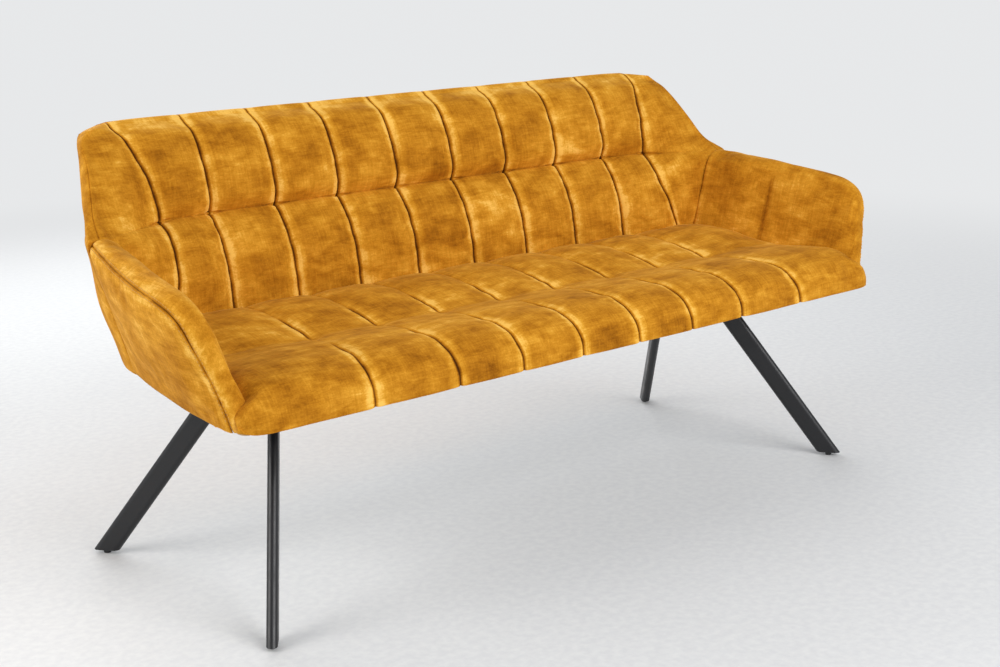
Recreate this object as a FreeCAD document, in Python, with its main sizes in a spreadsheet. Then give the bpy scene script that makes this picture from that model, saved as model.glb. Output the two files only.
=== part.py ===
import FreeCAD, Part
import math
import os
import Sketcher

# Upholstered bench with a channelled back, channelled seat and flared arms on four splayed tube legs.
# Millimetres. The origin is on the floor midway between the feet, X runs along the bench, -Y is the front.

SIZES = {
    # Seat board: a plywood base, wider at the front than at the back
    "base_height": 397,
    "board_thickness": 18,
    "board_front": 332,
    "board_rear": 290,
    "board_front_half_width": 820,
    "board_rear_half_width": 731,
    "board_front_radius": 14,
    "board_rear_radius": 190,
    # Legs: flat-oval tube, splayed sideways and lengthways
    "foot_inset": 18.5,
    "foot_half_depth": 291,
    "leg_top_inset": 192.5,
    "leg_top_half_depth": 63,
    "leg_width": 42,
    "leg_depth": 20,
    "leg_wall": 1.5,
    # Inserts and glides in the leg ends
    "plug_length": 32,
    "glide_diameter": 14,
    "glide_height": 7,
    "glide_edge": 1.5,
    "stem_diameter": 6,
    "stem_length": 12,
    # Leg plates, bolts, tee nuts and dust cover under the board
    "plate_length": 236,
    "plate_width": 112,
    "plate_thickness": 5,
    "plate_radius": 14,
    "bolt_pitch_along": 102,
    "bolt_pitch_across": 84,
    "bolt_diameter": 8,
    "bolt_length": 20,
    "bolt_head_flats": 13,
    "bolt_head_height": 5.3,
    "nut_barrel_diameter": 10.5,
    "nut_barrel_length": 11,
    "nut_flange_diameter": 22,
    "nut_flange_thickness": 1.5,
    "dust_cover_thickness": 1,
    "dust_cover_inset": 12,
    # Back frame: ribs, rails and the panel behind the pad
    "rib_thickness": 18,
    "rib_inset": 144,
    "rib_foot_front": 215,
    "rib_top_front": 288,
    "rib_top_drop": 71,
    "rear_lean": 42,
    "rear_gap": 18.7,
    "top_rail_height": 25,
    "lower_rail_depth": 25,
    "lower_rail_height": 40,
    "rail_inset": 126,
    "back_panel_thickness": 5,
    "back_panel_inset": 122,
    # Arm frames and the battens that fix them
    "arm_frame_thickness": 15,
    "arm_frame_setback": 40,
    "arm_frame_length": 372,
    "arm_frame_front_height": 148,
    "arm_frame_rear_height": 188,
    "arm_frame_radius": 40,
    "arm_lean_angle": 17,
    "batten_size": 11,
    "batten_setback": 60,
    "batten_length": 330,
    # Arm upholstery
    "arm_front": 318,
    "arm_rear": 115,
    "arm_front_rise": 211,
    "arm_rear_rise": 263,
    "arm_thickness": 62,
    "arm_inset": 22,
    "arm_flare": 80,
    "arm_bow": 13,
    "arm_setback": 98,
    "arm_cover_depth": 10,
    # Back upholstery
    "back_height": 836,
    "back_pad_depth": 80,
    "corner_gap": 76.5,
    "channel_crown": 18,
    "corner_forward": 32,
    "corner_inset": 167,
    "cover_thickness": 8,
    "rim_setback": 185,
    "rim_draw_in": 97,
    "rim_thickness": 60,
    "back_roll": 24,
    # Seat upholstery
    "seat_rear": 136,
    "seat_front": 348,
    "seat_valley": 105,
    "seat_rise": 73,
    "seat_crown": 12,
    "seat_seam_splay": 37,
    # Clearances
    "sliding_clearance": 0.4,
    "soft_clearance": 1,
    "overrun": 5,
}

# Levels of an arm from the board up to its crest
ARM_RISE_SHARES = (0, 0.24, 0.55, 0.8, 0.92, 0.98, 1)
ARM_THICKNESS_SHARES = (1, 0.92, 0.95, 1, 0.8, 0.5, 0.2)
ARM_SETBACK_SHARES = (0, 0.15, 0.41, 0.61, 0.75, 0.89, 1)
ARM_NOSE_SHARE = 0.42

# Levels of the lower back row, from the board to the tufts, and of the upper row, from the tufts to the crest
LOWER_RISE_SHARES = (0, 0.26, 0.54, 0.77, 0.92, 1)
LOWER_DEPTH_SHARES = (0.75, 0.96, 0.99, 0.88, 0.66, 0.48)
LOWER_CROWN_SHARES = (0.8, 0.9, 1, 0.95, 0.7, 0.3)
LOWER_SEAM_SHARES = (0.95, 0.88, 0.84, 0.78, 0.77, 0.78)
LOWER_FORWARD_SHARES = (1, 0.84, 1.1, 0.88, 0.88, 0.69)
UPPER_RISE_SHARES = (0, 0.19, 0.41, 0.66, 0.83, 0.94, 1)
UPPER_DEPTH_SHARES = (0.48, 0.64, 0.62, 0.49, 0.31, 0.1, -0.1)
UPPER_CROWN_SHARES = (0.3, 0.9, 1, 0.95, 0.75, 0.5, 0.25)
UPPER_SEAM_SHARES = (0.78, 0.8, 0.84, 0.92, 0.98, 1.03, 1.05)
UPPER_FORWARD_SHARES = (0.69, 0.34, 0.28, 0.1, 0.12, 0.16, 0.25)
RIM_SETBACK_SHARES = (0, 0.23, 0.39, 0.59, 0.77, 0.91, 1)
RIM_DRAW_IN_SHARES = (0, 0.07, 0.2, 0.39, 0.56, 0.73, 1)
RIM_THICKNESS_SHARES = (0.55, 0.9, 1, 0.97, 0.83, 0.6, 0.25)
RIM_ROLL_SHARES = (0, 0.3, 0.35, 0.35, 0.35, 0.35, 0.3)
ROLL_SHARES = (0, 0, 0, 0, 0.1, 0.4, 1)
TUFT_RISE_SHARE = 0.98
RIM_TURN_SHARE = 0.35
CORNER_CROWN_SHARE = 0.35
RIB_INNER_SHARE = 0.335

# Stations of the rear seat row, from the back to the valley, and of the front row, over the front edge
REAR_REACH_SHARES = (0, 0.14, 0.36, 0.59, 0.81, 1)
REAR_RISE_SHARES = (0.84, 0.97, 1, 0.93, 0.79, 0.58)
REAR_CROWN_SHARES = (0.6, 0.9, 1, 1, 0.75, 0.3)
FRONT_REACH_SHARES = (0, 0.19, 0.41, 0.62, 0.78, 0.895, 0.97, 0.998, 1)
FRONT_RISE_SHARES = (0.58, 0.75, 0.86, 0.84, 0.7, 0.48, 0.18, -0.07, -0.25)
FRONT_CROWN_SHARES = (0.3, 0.7, 0.95, 1, 0.95, 0.85, 0.7, 0.5, 0.35)
FRONT_ROOT_SHARES = (0, 0.19, 0.41, 0.6, 0.72, 0.79, 0.835, 0.855, 0.866)
FRONT_SINK_SHARES = (0.55, 0.55, 0.55, 0.55, 0.55, 0.6, 0.7, 0.85, 1)
REAR_SINK_SHARE = 0.55

SEAMS_EACH_SIDE = 4
BOLT_HEAD_SIDES = 6
FULL_TURN = 360
QUARTER_TURN = math.pi / 2
SIDES = {"left": -1, "right": 1}
ENDS = {"front": -1, "rear": 1}

doc = FreeCAD.newDocument("UpholsteredBench")
sheet = doc.addObject("Spreadsheet::Sheet", "Sizes")
for row, (name, value) in enumerate(SIZES.items(), start=1):
    sheet.set(f"A{row}", name)
    sheet.set(f"B{row}", str(value))
    sheet.setAlias(f"B{row}", name)
doc.recompute()

nodes = []


def size(name):
    """Value of a named size, read from the sheet."""
    return float(sheet.get(name))


def vector(x, y, z):
    return FreeCAD.Vector(x, y, z)


def keep(piece, label):
    """List a finished piece as a node of the bench."""
    piece.Label = label
    nodes.append(piece)
    return piece


def shape_of(label):
    return next(node.Shape for node in nodes if node.Label == label)


def scratch_name(label, purpose):
    return f"{label}_{purpose}"


# Sketches and features

def sketch_on(body, role, name):
    """Sketch on one of the body's own origin planes."""
    sketch = body.newObject("Sketcher::SketchObject", name)
    support = next(item for item in body.Origin.OriginFeatures if item.Role == role)
    sketch.AttachmentSupport = [(support, "")]
    sketch.MapMode = "FlatFace"
    return sketch


def pin_point(sketch, geometry, position, place):
    """Hold a sketch point at a place given by two expressions."""
    for kind, expression in zip(("DistanceX", "DistanceY"), place):
        value = float(sketch.evalExpression(expression))
        index = sketch.addConstraint(Sketcher.Constraint(kind, geometry, position, value))
        sketch.setExpression(f"Constraints[{index}]", expression)


def add_outline(sketch, corners):
    """Closed outline of straight lines, each corner a pair of expressions."""
    first = sketch.GeometryCount
    count = len(corners)
    places = [vector(*(float(sketch.evalExpression(part)) for part in corner), 0) for corner in corners]
    for index in range(count):
        line = Part.LineSegment(places[index], places[(index + 1) % count])
        sketch.addGeometry(line, False)
    for index in range(count):
        following = (index + 1) % count
        sketch.addConstraint(Sketcher.Constraint("Coincident", first + index, 2, first + following, 1))
    for index, corner in enumerate(corners):
        pin_point(sketch, first + index, 1, corner)


def add_circles(sketch, centres, diameter):
    """Round outlines of one diameter about places given by expressions."""
    value = float(sketch.evalExpression(diameter))
    for centre in centres:
        place = vector(*(float(sketch.evalExpression(part)) for part in centre), 0)
        geometry = sketch.addGeometry(Part.Circle(place, vector(0, 0, 1), value / 2), False)
        pin_point(sketch, geometry, 3, centre)
        index = sketch.addConstraint(Sketcher.Constraint("Diameter", geometry, value))
        sketch.setExpression(f"Constraints[{index}]", diameter)


def add_flat_oval(sketch, width, depth):
    """Outline with two straight flanks and two round ends, centred on the sketch's origin."""
    radius = float(sketch.evalExpression(f"({depth}) / 2"))
    reach = float(sketch.evalExpression(f"({width}) / 2")) - radius
    normal = vector(0, 0, 1)
    near = sketch.addGeometry(Part.LineSegment(vector(-reach, -radius, 0), vector(reach, -radius, 0)), False)
    right_end = Part.Circle(vector(reach, 0, 0), normal, radius)
    right = sketch.addGeometry(Part.ArcOfCircle(right_end, -QUARTER_TURN, QUARTER_TURN), False)
    far = sketch.addGeometry(Part.LineSegment(vector(reach, radius, 0), vector(-reach, radius, 0)), False)
    left_end = Part.Circle(vector(-reach, 0, 0), normal, radius)
    left = sketch.addGeometry(Part.ArcOfCircle(left_end, QUARTER_TURN, 3 * QUARTER_TURN), False)
    loop = (near, right, far, left)
    for index in range(len(loop)):
        joint = Sketcher.Constraint("Tangent", loop[index], 2, loop[(index + 1) % len(loop)], 1)
        sketch.addConstraint(joint)
    pin_point(sketch, right, 3, (f"({width}) / 2 - ({depth}) / 2", "0"))
    pin_point(sketch, left, 3, (f"({depth}) / 2 - ({width}) / 2", "0"))
    index = sketch.addConstraint(Sketcher.Constraint("Radius", right, radius))
    sketch.setExpression(f"Constraints[{index}]", f"({depth}) / 2")
    sketch.addConstraint(Sketcher.Constraint("Equal", right, left))


def add_pad(body, sketch, length, side="One side", back_length=None, flip=False):
    pad = body.newObject("PartDesign::Pad", f"{sketch.Name}_pad")
    pad.Profile = sketch
    pad.SideType = side
    pad.Reversed = flip
    pad.setExpression("Length", length)
    if back_length:
        pad.setExpression("Length2", back_length)
    return pad


def add_pocket(body, sketch, length, side="One side"):
    pocket = body.newObject("PartDesign::Pocket", f"{sketch.Name}_pocket")
    pocket.Profile = sketch
    pocket.SideType = side
    pocket.setExpression("Length", length)
    return pocket


def add_corner_fillet(body, base, chosen, radius):
    """Round the upright edges of a flat piece whose middle passes the test."""
    doc.recompute()
    names = []
    for index, edge in enumerate(base.Shape.Edges, start=1):
        start, end = (vertex.Point for vertex in edge.Vertexes[:2])
        upright = math.hypot(end.x - start.x, end.y - start.y) < size("sliding_clearance")
        if upright and chosen(edge.CenterOfMass):
            names.append(f"Edge{index}")
    fillet = body.newObject("PartDesign::Fillet", f"{base.Name}_fillet")
    fillet.Base = (base, names)
    fillet.setExpression("Radius", radius)
    return fillet


def revolve(label, corners):
    """Turned piece from a half profile in the upright plane."""
    body = doc.addObject("PartDesign::Body", label)
    sketch = sketch_on(body, "XZ_Plane", scratch_name(label, "profile"))
    add_outline(sketch, corners)
    turn = body.newObject("PartDesign::Revolution", scratch_name(label, "turn"))
    turn.Profile = sketch
    turn.ReferenceAxis = (sketch, ["V_Axis"])
    turn.Angle = FULL_TURN
    return body


def long_prism(label, corners, half_length):
    """Piece with one section in the YZ plane, running along the bench on both sides of its middle."""
    body = doc.addObject("PartDesign::Body", label)
    sketch = sketch_on(body, "YZ_Plane", scratch_name(label, "section"))
    add_outline(sketch, corners)
    add_pad(body, sketch, f"2 * ({half_length})", side="Symmetric")
    return keep(body, label)


# Seat board, dust cover, leg plates and their fasteners

BOARD_TOP = "(Sizes.base_height + Sizes.board_thickness)"
BOARD_SPAN = "(Sizes.board_front_half_width + Sizes.board_rear_half_width) / 2"
FOOT_SPAN = f"({BOARD_SPAN} - Sizes.foot_inset)"
LEG_TOP_SPAN = f"({BOARD_SPAN} - Sizes.leg_top_inset)"
PLATE_TOP = "(Sizes.base_height - Sizes.dust_cover_thickness)"
BOLT_STEPS = [(column, row) for column in (-1, 1) for row in (-1, 0, 1)]


def bolt_places():
    """Bolt centres of both plates as expressions, in plan."""
    places = []
    for sign in SIDES.values():
        for column, row in BOLT_STEPS:
            across = f"{sign} * {LEG_TOP_SPAN} + ({column}) * Sizes.bolt_pitch_across / 2"
            along = f"({row}) * Sizes.bolt_pitch_along"
            places.append((across, along))
    return places


def base_sheet(label, inset, thickness, hole, level):
    """Flat sheet with the plan of the seat board, less an inset, and a hole at every bolt."""
    body = doc.addObject("PartDesign::Body", label)
    plan = sketch_on(body, "XY_Plane", scratch_name(label, "plan"))
    front = f"-(Sizes.board_front - {inset})"
    rear = f"Sizes.board_rear - {inset}"
    wide = f"(Sizes.board_front_half_width - {inset})"
    narrow = f"(Sizes.board_rear_half_width - {inset})"
    add_outline(plan, [(f"-{wide}", front), (wide, front), (narrow, rear), (f"-{narrow}", rear)])
    slab = add_pad(body, plan, thickness)
    front_round = add_corner_fillet(body, slab, lambda place: place.y < 0, "Sizes.board_front_radius")
    add_corner_fillet(body, front_round, lambda place: place.y > size("arm_rear"), "Sizes.board_rear_radius")
    holes = sketch_on(body, "XY_Plane", scratch_name(label, "holes"))
    add_circles(holes, bolt_places(), hole)
    add_pocket(body, holes, f"2 * ({thickness} + Sizes.overrun)", side="Symmetric")
    body.setExpression("Placement.Base.z", level)
    return keep(body, label)


def seat_board():
    hole = "Sizes.nut_barrel_diameter + Sizes.sliding_clearance"
    body = base_sheet("seat_board", "0", "Sizes.board_thickness", hole, "Sizes.base_height")
    recess = sketch_on(body, "XY_Plane", "seat_board_recesses")
    recess.setExpression("AttachmentOffset.Base.z", "Sizes.board_thickness")
    add_circles(recess, bolt_places(), "Sizes.nut_flange_diameter + Sizes.sliding_clearance")
    add_pocket(body, recess, "Sizes.nut_flange_thickness")
    return body


def dust_cover():
    hole = "Sizes.bolt_diameter + Sizes.sliding_clearance"
    base_sheet("dust_cover", "Sizes.dust_cover_inset", "Sizes.dust_cover_thickness", hole, PLATE_TOP)


def leg_plate(side, sign):
    label = f"leg_plate_{side}"
    body = doc.addObject("PartDesign::Body", label)
    plan = sketch_on(body, "XY_Plane", scratch_name(label, "plan"))
    half_width = "Sizes.plate_width / 2"
    half_length = "Sizes.plate_length / 2"
    corners = [(f"-{half_width}", f"-{half_length}"), (half_width, f"-{half_length}"),
               (half_width, half_length), (f"-{half_width}", half_length)]
    add_outline(plan, corners)
    slab = add_pad(body, plan, "Sizes.plate_thickness")
    add_corner_fillet(body, slab, lambda place: True, "Sizes.plate_radius")
    holes = sketch_on(body, "XY_Plane", scratch_name(label, "holes"))
    centres = [(f"({column}) * Sizes.bolt_pitch_across / 2", f"({row}) * Sizes.bolt_pitch_along")
               for column, row in BOLT_STEPS]
    add_circles(holes, centres, "Sizes.bolt_diameter + Sizes.sliding_clearance")
    add_pocket(body, holes, "2 * (Sizes.plate_thickness + Sizes.overrun)", side="Symmetric")
    body.setExpression("Placement.Base.x", f"{sign} * {LEG_TOP_SPAN}")
    body.setExpression("Placement.Base.z", f"{PLATE_TOP} - Sizes.plate_thickness")
    keep(body, label)


def place_copies(label, pattern, level):
    """Group of separate copies of one fastener, one at every bolt centre."""
    doc.recompute()
    copies = []
    for across, along in bolt_places():
        copy = pattern.Shape.copy()
        place = (float(sheet.evalExpression(across)), float(sheet.evalExpression(along)), level)
        copy.Placement = FreeCAD.Placement(vector(*place), FreeCAD.Rotation())
        copies.append(copy)
    group = doc.addObject("Part::Feature", label)
    group.Shape = Part.Compound(copies)
    group.Placement = FreeCAD.Placement()
    keep(group, label)


def leg_bolts():
    head = doc.addObject("Part::Prism", "bolt_head")
    head.Polygon = BOLT_HEAD_SIDES
    half_side = f"{FULL_TURN}deg / {2 * BOLT_HEAD_SIDES}"
    head.setExpression("Circumradius", f"Sizes.bolt_head_flats / 2 / cos({half_side})")
    head.setExpression("Height", "Sizes.bolt_head_height")
    shank = doc.addObject("Part::Cylinder", "bolt_shank")
    shank.setExpression("Radius", "Sizes.bolt_diameter / 2")
    shank.setExpression("Height", "Sizes.bolt_head_height + Sizes.bolt_length")
    bolt = doc.addObject("Part::Fuse", "bolt")
    bolt.Base = head
    bolt.Tool = shank
    place_copies("leg_bolts", bolt, plate_bottom() - size("bolt_head_height"))


def t_nuts():
    bore = "(Sizes.bolt_diameter + Sizes.sliding_clearance) / 2"
    barrel = "Sizes.nut_barrel_diameter / 2"
    flange = "Sizes.nut_flange_diameter / 2"
    shoulder = "Sizes.nut_barrel_length"
    top = "Sizes.nut_barrel_length + Sizes.nut_flange_thickness"
    profile = [(bore, "0"), (barrel, "0"), (barrel, shoulder), (flange, shoulder), (flange, top), (bore, top)]
    nut = revolve("t_nut", profile)
    place_copies("t_nuts", nut, board_top() - size("nut_flange_thickness") - size("nut_barrel_length"))


def board_top():
    return size("base_height") + size("board_thickness")


def plate_bottom():
    return size("base_height") - size("dust_cover_thickness") - size("plate_thickness")


# Legs: each tube lies in an upright plane through its foot and its top, wide face in that plane

LEG_RISE = "(Sizes.base_height - Sizes.dust_cover_thickness - Sizes.plate_thickness - Sizes.glide_height)"
LEG_SPLAY = ("sqrt((Sizes.leg_top_inset - Sizes.foot_inset)^2"
             " + (Sizes.foot_half_depth - Sizes.leg_top_half_depth)^2)")
LEG_SLOPE = f"({LEG_SPLAY} / {LEG_RISE})"
LEG_LENGTH = f"sqrt({LEG_RISE}^2 + {LEG_SPLAY}^2)"
END_SPARE = f"(Sizes.leg_width * {LEG_SLOPE} + Sizes.overrun)"


def leg_placement(sign, end):
    """Frame at the foot: Z up the tube, X along its wide section in the plane of the splay."""
    outward = vector(sign * (size("leg_top_inset") - size("foot_inset")),
                     end * (size("foot_half_depth") - size("leg_top_half_depth")), 0)
    rise = plate_bottom() - size("glide_height")
    tilt = math.degrees(math.atan2(outward.Length, rise))
    heading = math.degrees(math.atan2(outward.y, outward.x))
    turn = FreeCAD.Rotation(vector(0, 0, 1), heading)
    lean = FreeCAD.Rotation(vector(0, 1, 0), -tilt)
    span = float(sheet.evalExpression(FOOT_SPAN))
    foot = vector(sign * span, end * size("foot_half_depth"), size("glide_height"))
    return FreeCAD.Placement(foot, turn.multiply(lean))


def level_cut(axis_height, away):
    """Outline, in the plane of the splay, of what a level cut takes off a tube end."""
    low = f"{axis_height} - Sizes.leg_width * {LEG_SLOPE}"
    high = f"{axis_height} + Sizes.leg_width * {LEG_SLOPE}"
    beyond = f"{axis_height} + ({away}) * 2 * {END_SPARE}"
    return [("-Sizes.leg_width", high), ("Sizes.leg_width", low),
            ("Sizes.leg_width", beyond), ("-Sizes.leg_width", beyond)]


def leg(label, sign, end):
    body = doc.addObject("PartDesign::Body", label)
    section = sketch_on(body, "XY_Plane", scratch_name(label, "section"))
    add_flat_oval(section, "Sizes.leg_width", "Sizes.leg_depth")
    add_flat_oval(section, "Sizes.leg_width - 2 * Sizes.leg_wall", "Sizes.leg_depth - 2 * Sizes.leg_wall")
    add_pad(body, section, f"{LEG_LENGTH} + {END_SPARE}", "Two sides", END_SPARE)
    ends = sketch_on(body, "XZ_Plane", scratch_name(label, "ends"))
    add_outline(ends, level_cut("0", -1))
    add_outline(ends, level_cut(LEG_LENGTH, 1))
    add_pocket(body, ends, "2 * Sizes.leg_depth", side="Symmetric")
    body.Placement = leg_placement(sign, end)
    keep(body, label)


def leg_plug(label, sign, end):
    """Insert that fills the tube end, with an upright socket for the glide's stem."""
    body = doc.addObject("PartDesign::Body", scratch_name(label, "body"))
    section = sketch_on(body, "XY_Plane", scratch_name(label, "section"))
    fit = "2 * (Sizes.leg_wall + Sizes.sliding_clearance / 2)"
    add_flat_oval(section, f"Sizes.leg_width - {fit}", f"Sizes.leg_depth - {fit}")
    add_pad(body, section, "Sizes.plug_length", "Two sides", END_SPARE)
    ends = sketch_on(body, "XZ_Plane", scratch_name(label, "end"))
    add_outline(ends, level_cut("0", -1))
    add_pocket(body, ends, "2 * Sizes.leg_depth", side="Symmetric")
    body.Placement = leg_placement(sign, end)
    socket = doc.addObject("Part::Cylinder", scratch_name(label, "socket"))
    socket.setExpression("Radius", "(Sizes.stem_diameter + Sizes.sliding_clearance) / 2")
    socket.setExpression("Height", "Sizes.stem_length + Sizes.sliding_clearance")
    socket.Placement = FreeCAD.Placement(body.Placement.Base, FreeCAD.Rotation())
    plug = doc.addObject("Part::Cut", label)
    plug.Base = body
    plug.Tool = socket
    keep(plug, label)


def glide(label, sign, end):
    radius = "Sizes.glide_diameter / 2"
    stem = "Sizes.stem_diameter / 2"
    top = "Sizes.glide_height + Sizes.stem_length"
    profile = [("0", "0"), (f"{radius} - Sizes.glide_edge", "0"), (radius, "Sizes.glide_edge"),
               (radius, "Sizes.glide_height"), (stem, "Sizes.glide_height"), (stem, top), ("0", top)]
    body = revolve(label, profile)
    body.setExpression("Placement.Base.x", f"{sign} * {FOOT_SPAN}")
    body.setExpression("Placement.Base.y", f"{end} * Sizes.foot_half_depth")
    keep(body, label)


# Back frame: the ribs stand on the board, narrower at the top, between two leaning planes

RIB_TOP = "(Sizes.back_height - Sizes.rib_top_drop)"
RAIL_TOP = f"({RIB_TOP} + Sizes.top_rail_height)"
FRONT_SLOPE = f"((Sizes.rib_top_front - Sizes.rib_foot_front) / ({RIB_TOP} - {BOARD_TOP}))"
REAR_SLOPE = f"(Sizes.rear_lean / ({RIB_TOP} - {BOARD_TOP}))"
BACK_ALONG = "((Sizes.arm_rear + Sizes.board_front) / (Sizes.board_front + Sizes.board_rear))"
BACK_SIDE = (f"(Sizes.board_front_half_width * (1 - {BACK_ALONG})"
             f" + Sizes.board_rear_half_width * {BACK_ALONG})")


def rib_front(height, ahead="0"):
    """Place on the ribs' front plane, or ahead of it, at a height."""
    return f"Sizes.rib_foot_front - ({ahead}) + {FRONT_SLOPE} * ({height} - {BOARD_TOP})"


def rib_rear(height):
    return f"Sizes.board_rear + {REAR_SLOPE} * ({height} - {BOARD_TOP})"


def back_rib(label, offset):
    top = RIB_TOP
    notch_top = f"({BOARD_TOP} + Sizes.lower_rail_height + Sizes.sliding_clearance)"
    notch_front = "Sizes.board_rear - Sizes.lower_rail_depth - Sizes.sliding_clearance"
    corners = [(rib_front(BOARD_TOP), BOARD_TOP), (notch_front, BOARD_TOP), (notch_front, notch_top),
               (rib_rear(notch_top), notch_top), (rib_rear(top), top), (rib_front(top), top)]
    body = long_prism(label, corners, "Sizes.rib_thickness / 2")
    body.setExpression("Placement.Base.x", offset)


def back_rails():
    low = RIB_TOP
    high = RAIL_TOP
    half_length = f"{BACK_SIDE} - Sizes.rail_inset"
    top_corners = [(rib_front(low), low), (rib_rear(low), low),
                   (rib_rear(high), high), (rib_front(high), high)]
    long_prism("back_top_rail", top_corners, half_length)
    foot = BOARD_TOP
    crown = f"({BOARD_TOP} + Sizes.lower_rail_height)"
    front = "Sizes.board_rear - Sizes.lower_rail_depth"
    rear = "Sizes.board_rear"
    lower_corners = [(front, foot), (rear, foot), (rear, crown), (front, crown)]
    long_prism("back_lower_rail", lower_corners, half_length)


def back_panel():
    low = BOARD_TOP
    high = RAIL_TOP
    ahead = "Sizes.back_panel_thickness"
    corners = [(rib_front(low, ahead), low), (rib_front(low), low),
               (rib_front(high), high), (rib_front(high, ahead), high)]
    long_prism("back_panel", corners, f"{BACK_SIDE} - Sizes.back_panel_inset")


# Arm frames: flat panels that stand on the board along its slanting sides and lean outwards

def board_side(y):
    """Half width of the board at a depth."""
    along = (y + size("board_front")) / (size("board_front") + size("board_rear"))
    return size("board_front_half_width") * (1 - along) + size("board_rear_half_width") * along


def side_toe():
    """Angle in plan by which the board's side runs inwards towards the back."""
    narrowing = size("board_front_half_width") - size("board_rear_half_width")
    return math.degrees(math.atan2(narrowing, size("board_front") + size("board_rear")))


def side_corner():
    return vector(size("board_front_half_width"), -size("board_front"), board_top())


def upright_side_frame():
    """Frame at the board's front corner: Y along its side to the back, X outwards, Z up."""
    return FreeCAD.Placement(side_corner(), FreeCAD.Rotation(vector(0, 0, 1), side_toe()))


def leaning_side_frame():
    """Frame at the same corner: X along the side to the back, Y up the leaning arm, Z outwards."""
    lean = math.radians(size("arm_lean_angle"))
    toe = math.radians(side_toe())
    along = vector(-math.sin(toe), math.cos(toe), 0)
    outward = vector(math.cos(toe), math.sin(toe), 0)
    up = vector(0, 0, math.cos(lean)) + outward * math.sin(lean)
    face = outward * math.cos(lean) - vector(0, 0, math.sin(lean))
    return FreeCAD.Placement(side_corner(), FreeCAD.Rotation(along, up, face, "XYZ"))


def mirrored(piece, label):
    """Left-hand piece from its right-hand one."""
    copy = doc.addObject("Part::Mirroring", label)
    copy.Source = piece
    copy.Base = vector(0, 0, 0)
    copy.Normal = vector(1, 0, 0)
    return keep(copy, label)


def arm_frames():
    body = doc.addObject("PartDesign::Body", "arm_frame_body")
    face = sketch_on(body, "XY_Plane", "arm_frame_outline")
    near = "Sizes.arm_frame_setback"
    far = "(Sizes.arm_frame_setback + Sizes.arm_frame_length)"
    foot = "-Sizes.arm_frame_thickness"
    crest = "Sizes.arm_setback * Sizes.arm_frame_front_height / Sizes.arm_front_rise"
    front_top = (f"{near} + {crest}", "Sizes.arm_frame_front_height")
    add_outline(face, [(near, foot), (far, foot), (far, "Sizes.arm_frame_rear_height"), front_top])
    slab = add_pad(body, face, "Sizes.arm_frame_thickness", flip=True)
    middle = size("arm_frame_setback") + size("arm_frame_length") / 2
    add_corner_fillet(body, slab, lambda place: place.x < middle and place.y > 0, "Sizes.arm_frame_radius")
    body.Placement = leaning_side_frame()
    below = doc.addObject("Part::Box", "arm_frame_bevel")
    below.setExpression("Length", "2 * Sizes.board_front_half_width")
    below.setExpression("Width", "2 * Sizes.board_front")
    below.setExpression("Height", "Sizes.board_thickness + Sizes.arm_frame_thickness")
    below.setExpression("Placement.Base.y", "-Sizes.board_front")
    below.setExpression("Placement.Base.z", "Sizes.base_height - Sizes.arm_frame_thickness")
    panel = doc.addObject("Part::Cut", "arm_frame_right")
    panel.Base = body
    panel.Tool = below
    keep(panel, "arm_frame_right")
    mirrored(panel, "arm_frame_left")


def arm_battens():
    body = doc.addObject("PartDesign::Body", "arm_batten_right")
    section = sketch_on(body, "XZ_Plane", "arm_batten_section")
    lean = "tan(Sizes.arm_lean_angle * 1deg)"
    foot = "-Sizes.arm_frame_thickness / cos(Sizes.arm_lean_angle * 1deg)"
    crown = f"{foot} + Sizes.batten_size * {lean}"
    inner = f"{foot} - Sizes.batten_size"
    top = "Sizes.batten_size"
    add_outline(section, [(inner, "0"), (foot, "0"), (crown, top), (inner, top)])
    add_pad(body, section, "Sizes.batten_setback + Sizes.batten_length", "Two sides", "-Sizes.batten_setback",
            flip=True)
    body.Placement = upright_side_frame()
    keep(body, "arm_batten_right")
    mirrored(body, "arm_batten_left")


# Upholstery: lofts through level or upright sections made of lines and arcs

def share_at(place, places, shares):
    """Share between the tabled places, on straight lines."""
    for index in range(1, len(places)):
        if place <= places[index]:
            part = (place - places[index - 1]) / (places[index] - places[index - 1])
            return shares[index - 1] + part * (shares[index] - shares[index - 1])
    return shares[-1]


def line(start, end):
    return Part.LineSegment(start, end).toShape()


def bulged(start, end, bulge):
    """Arc from start to end whose middle stands off the chord by a vector."""
    return Part.Arc(start, (start + end) / 2 + bulge, end).toShape()


def arm_point(rise, across, y):
    """Point of the right arm: rise 0 to 1, across -1 at the inner face to 1 at the outer, at a depth."""
    along = (y + size("arm_front")) / (size("arm_front") + size("arm_rear"))
    bow = size("arm_bow") * (1 - (2 * along - 1)**2)
    thickness = size("arm_thickness") * share_at(rise, ARM_RISE_SHARES, ARM_THICKNESS_SHARES)
    x = board_side(y) - size("arm_inset") + size("arm_flare") * rise + bow + across * thickness / 2
    reach = size("arm_front_rise") * (1 - along) + size("arm_rear_rise") * along
    return vector(x, y, size("base_height") + rise * reach)


def arm_section(rise, setback):
    """Section of the right arm near a level: two bowed flanks, a round nose and a flat rear end."""
    front = size("arm_setback") * setback - size("arm_front")
    rear = size("arm_rear") - size("sliding_clearance")
    middle = (front + rear) / 2
    nose = size("arm_thickness") * share_at(rise, ARM_RISE_SHARES, ARM_THICKNESS_SHARES) * ARM_NOSE_SHARE
    inner = [arm_point(rise, -1, y) for y in (rear, middle, front)]
    outer = [arm_point(rise, 1, y) for y in (front, middle, rear)]
    slope = (size("arm_rear_rise") - size("arm_front_rise")) / (size("arm_front") + size("arm_rear"))
    tip = vector(0, -nose, -nose * slope * rise)
    edges = [Part.Arc(*inner).toShape(), bulged(inner[-1], outer[0], tip), Part.Arc(*outer).toShape(),
             line(outer[-1], inner[0])]
    return Part.Wire(edges)


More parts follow.
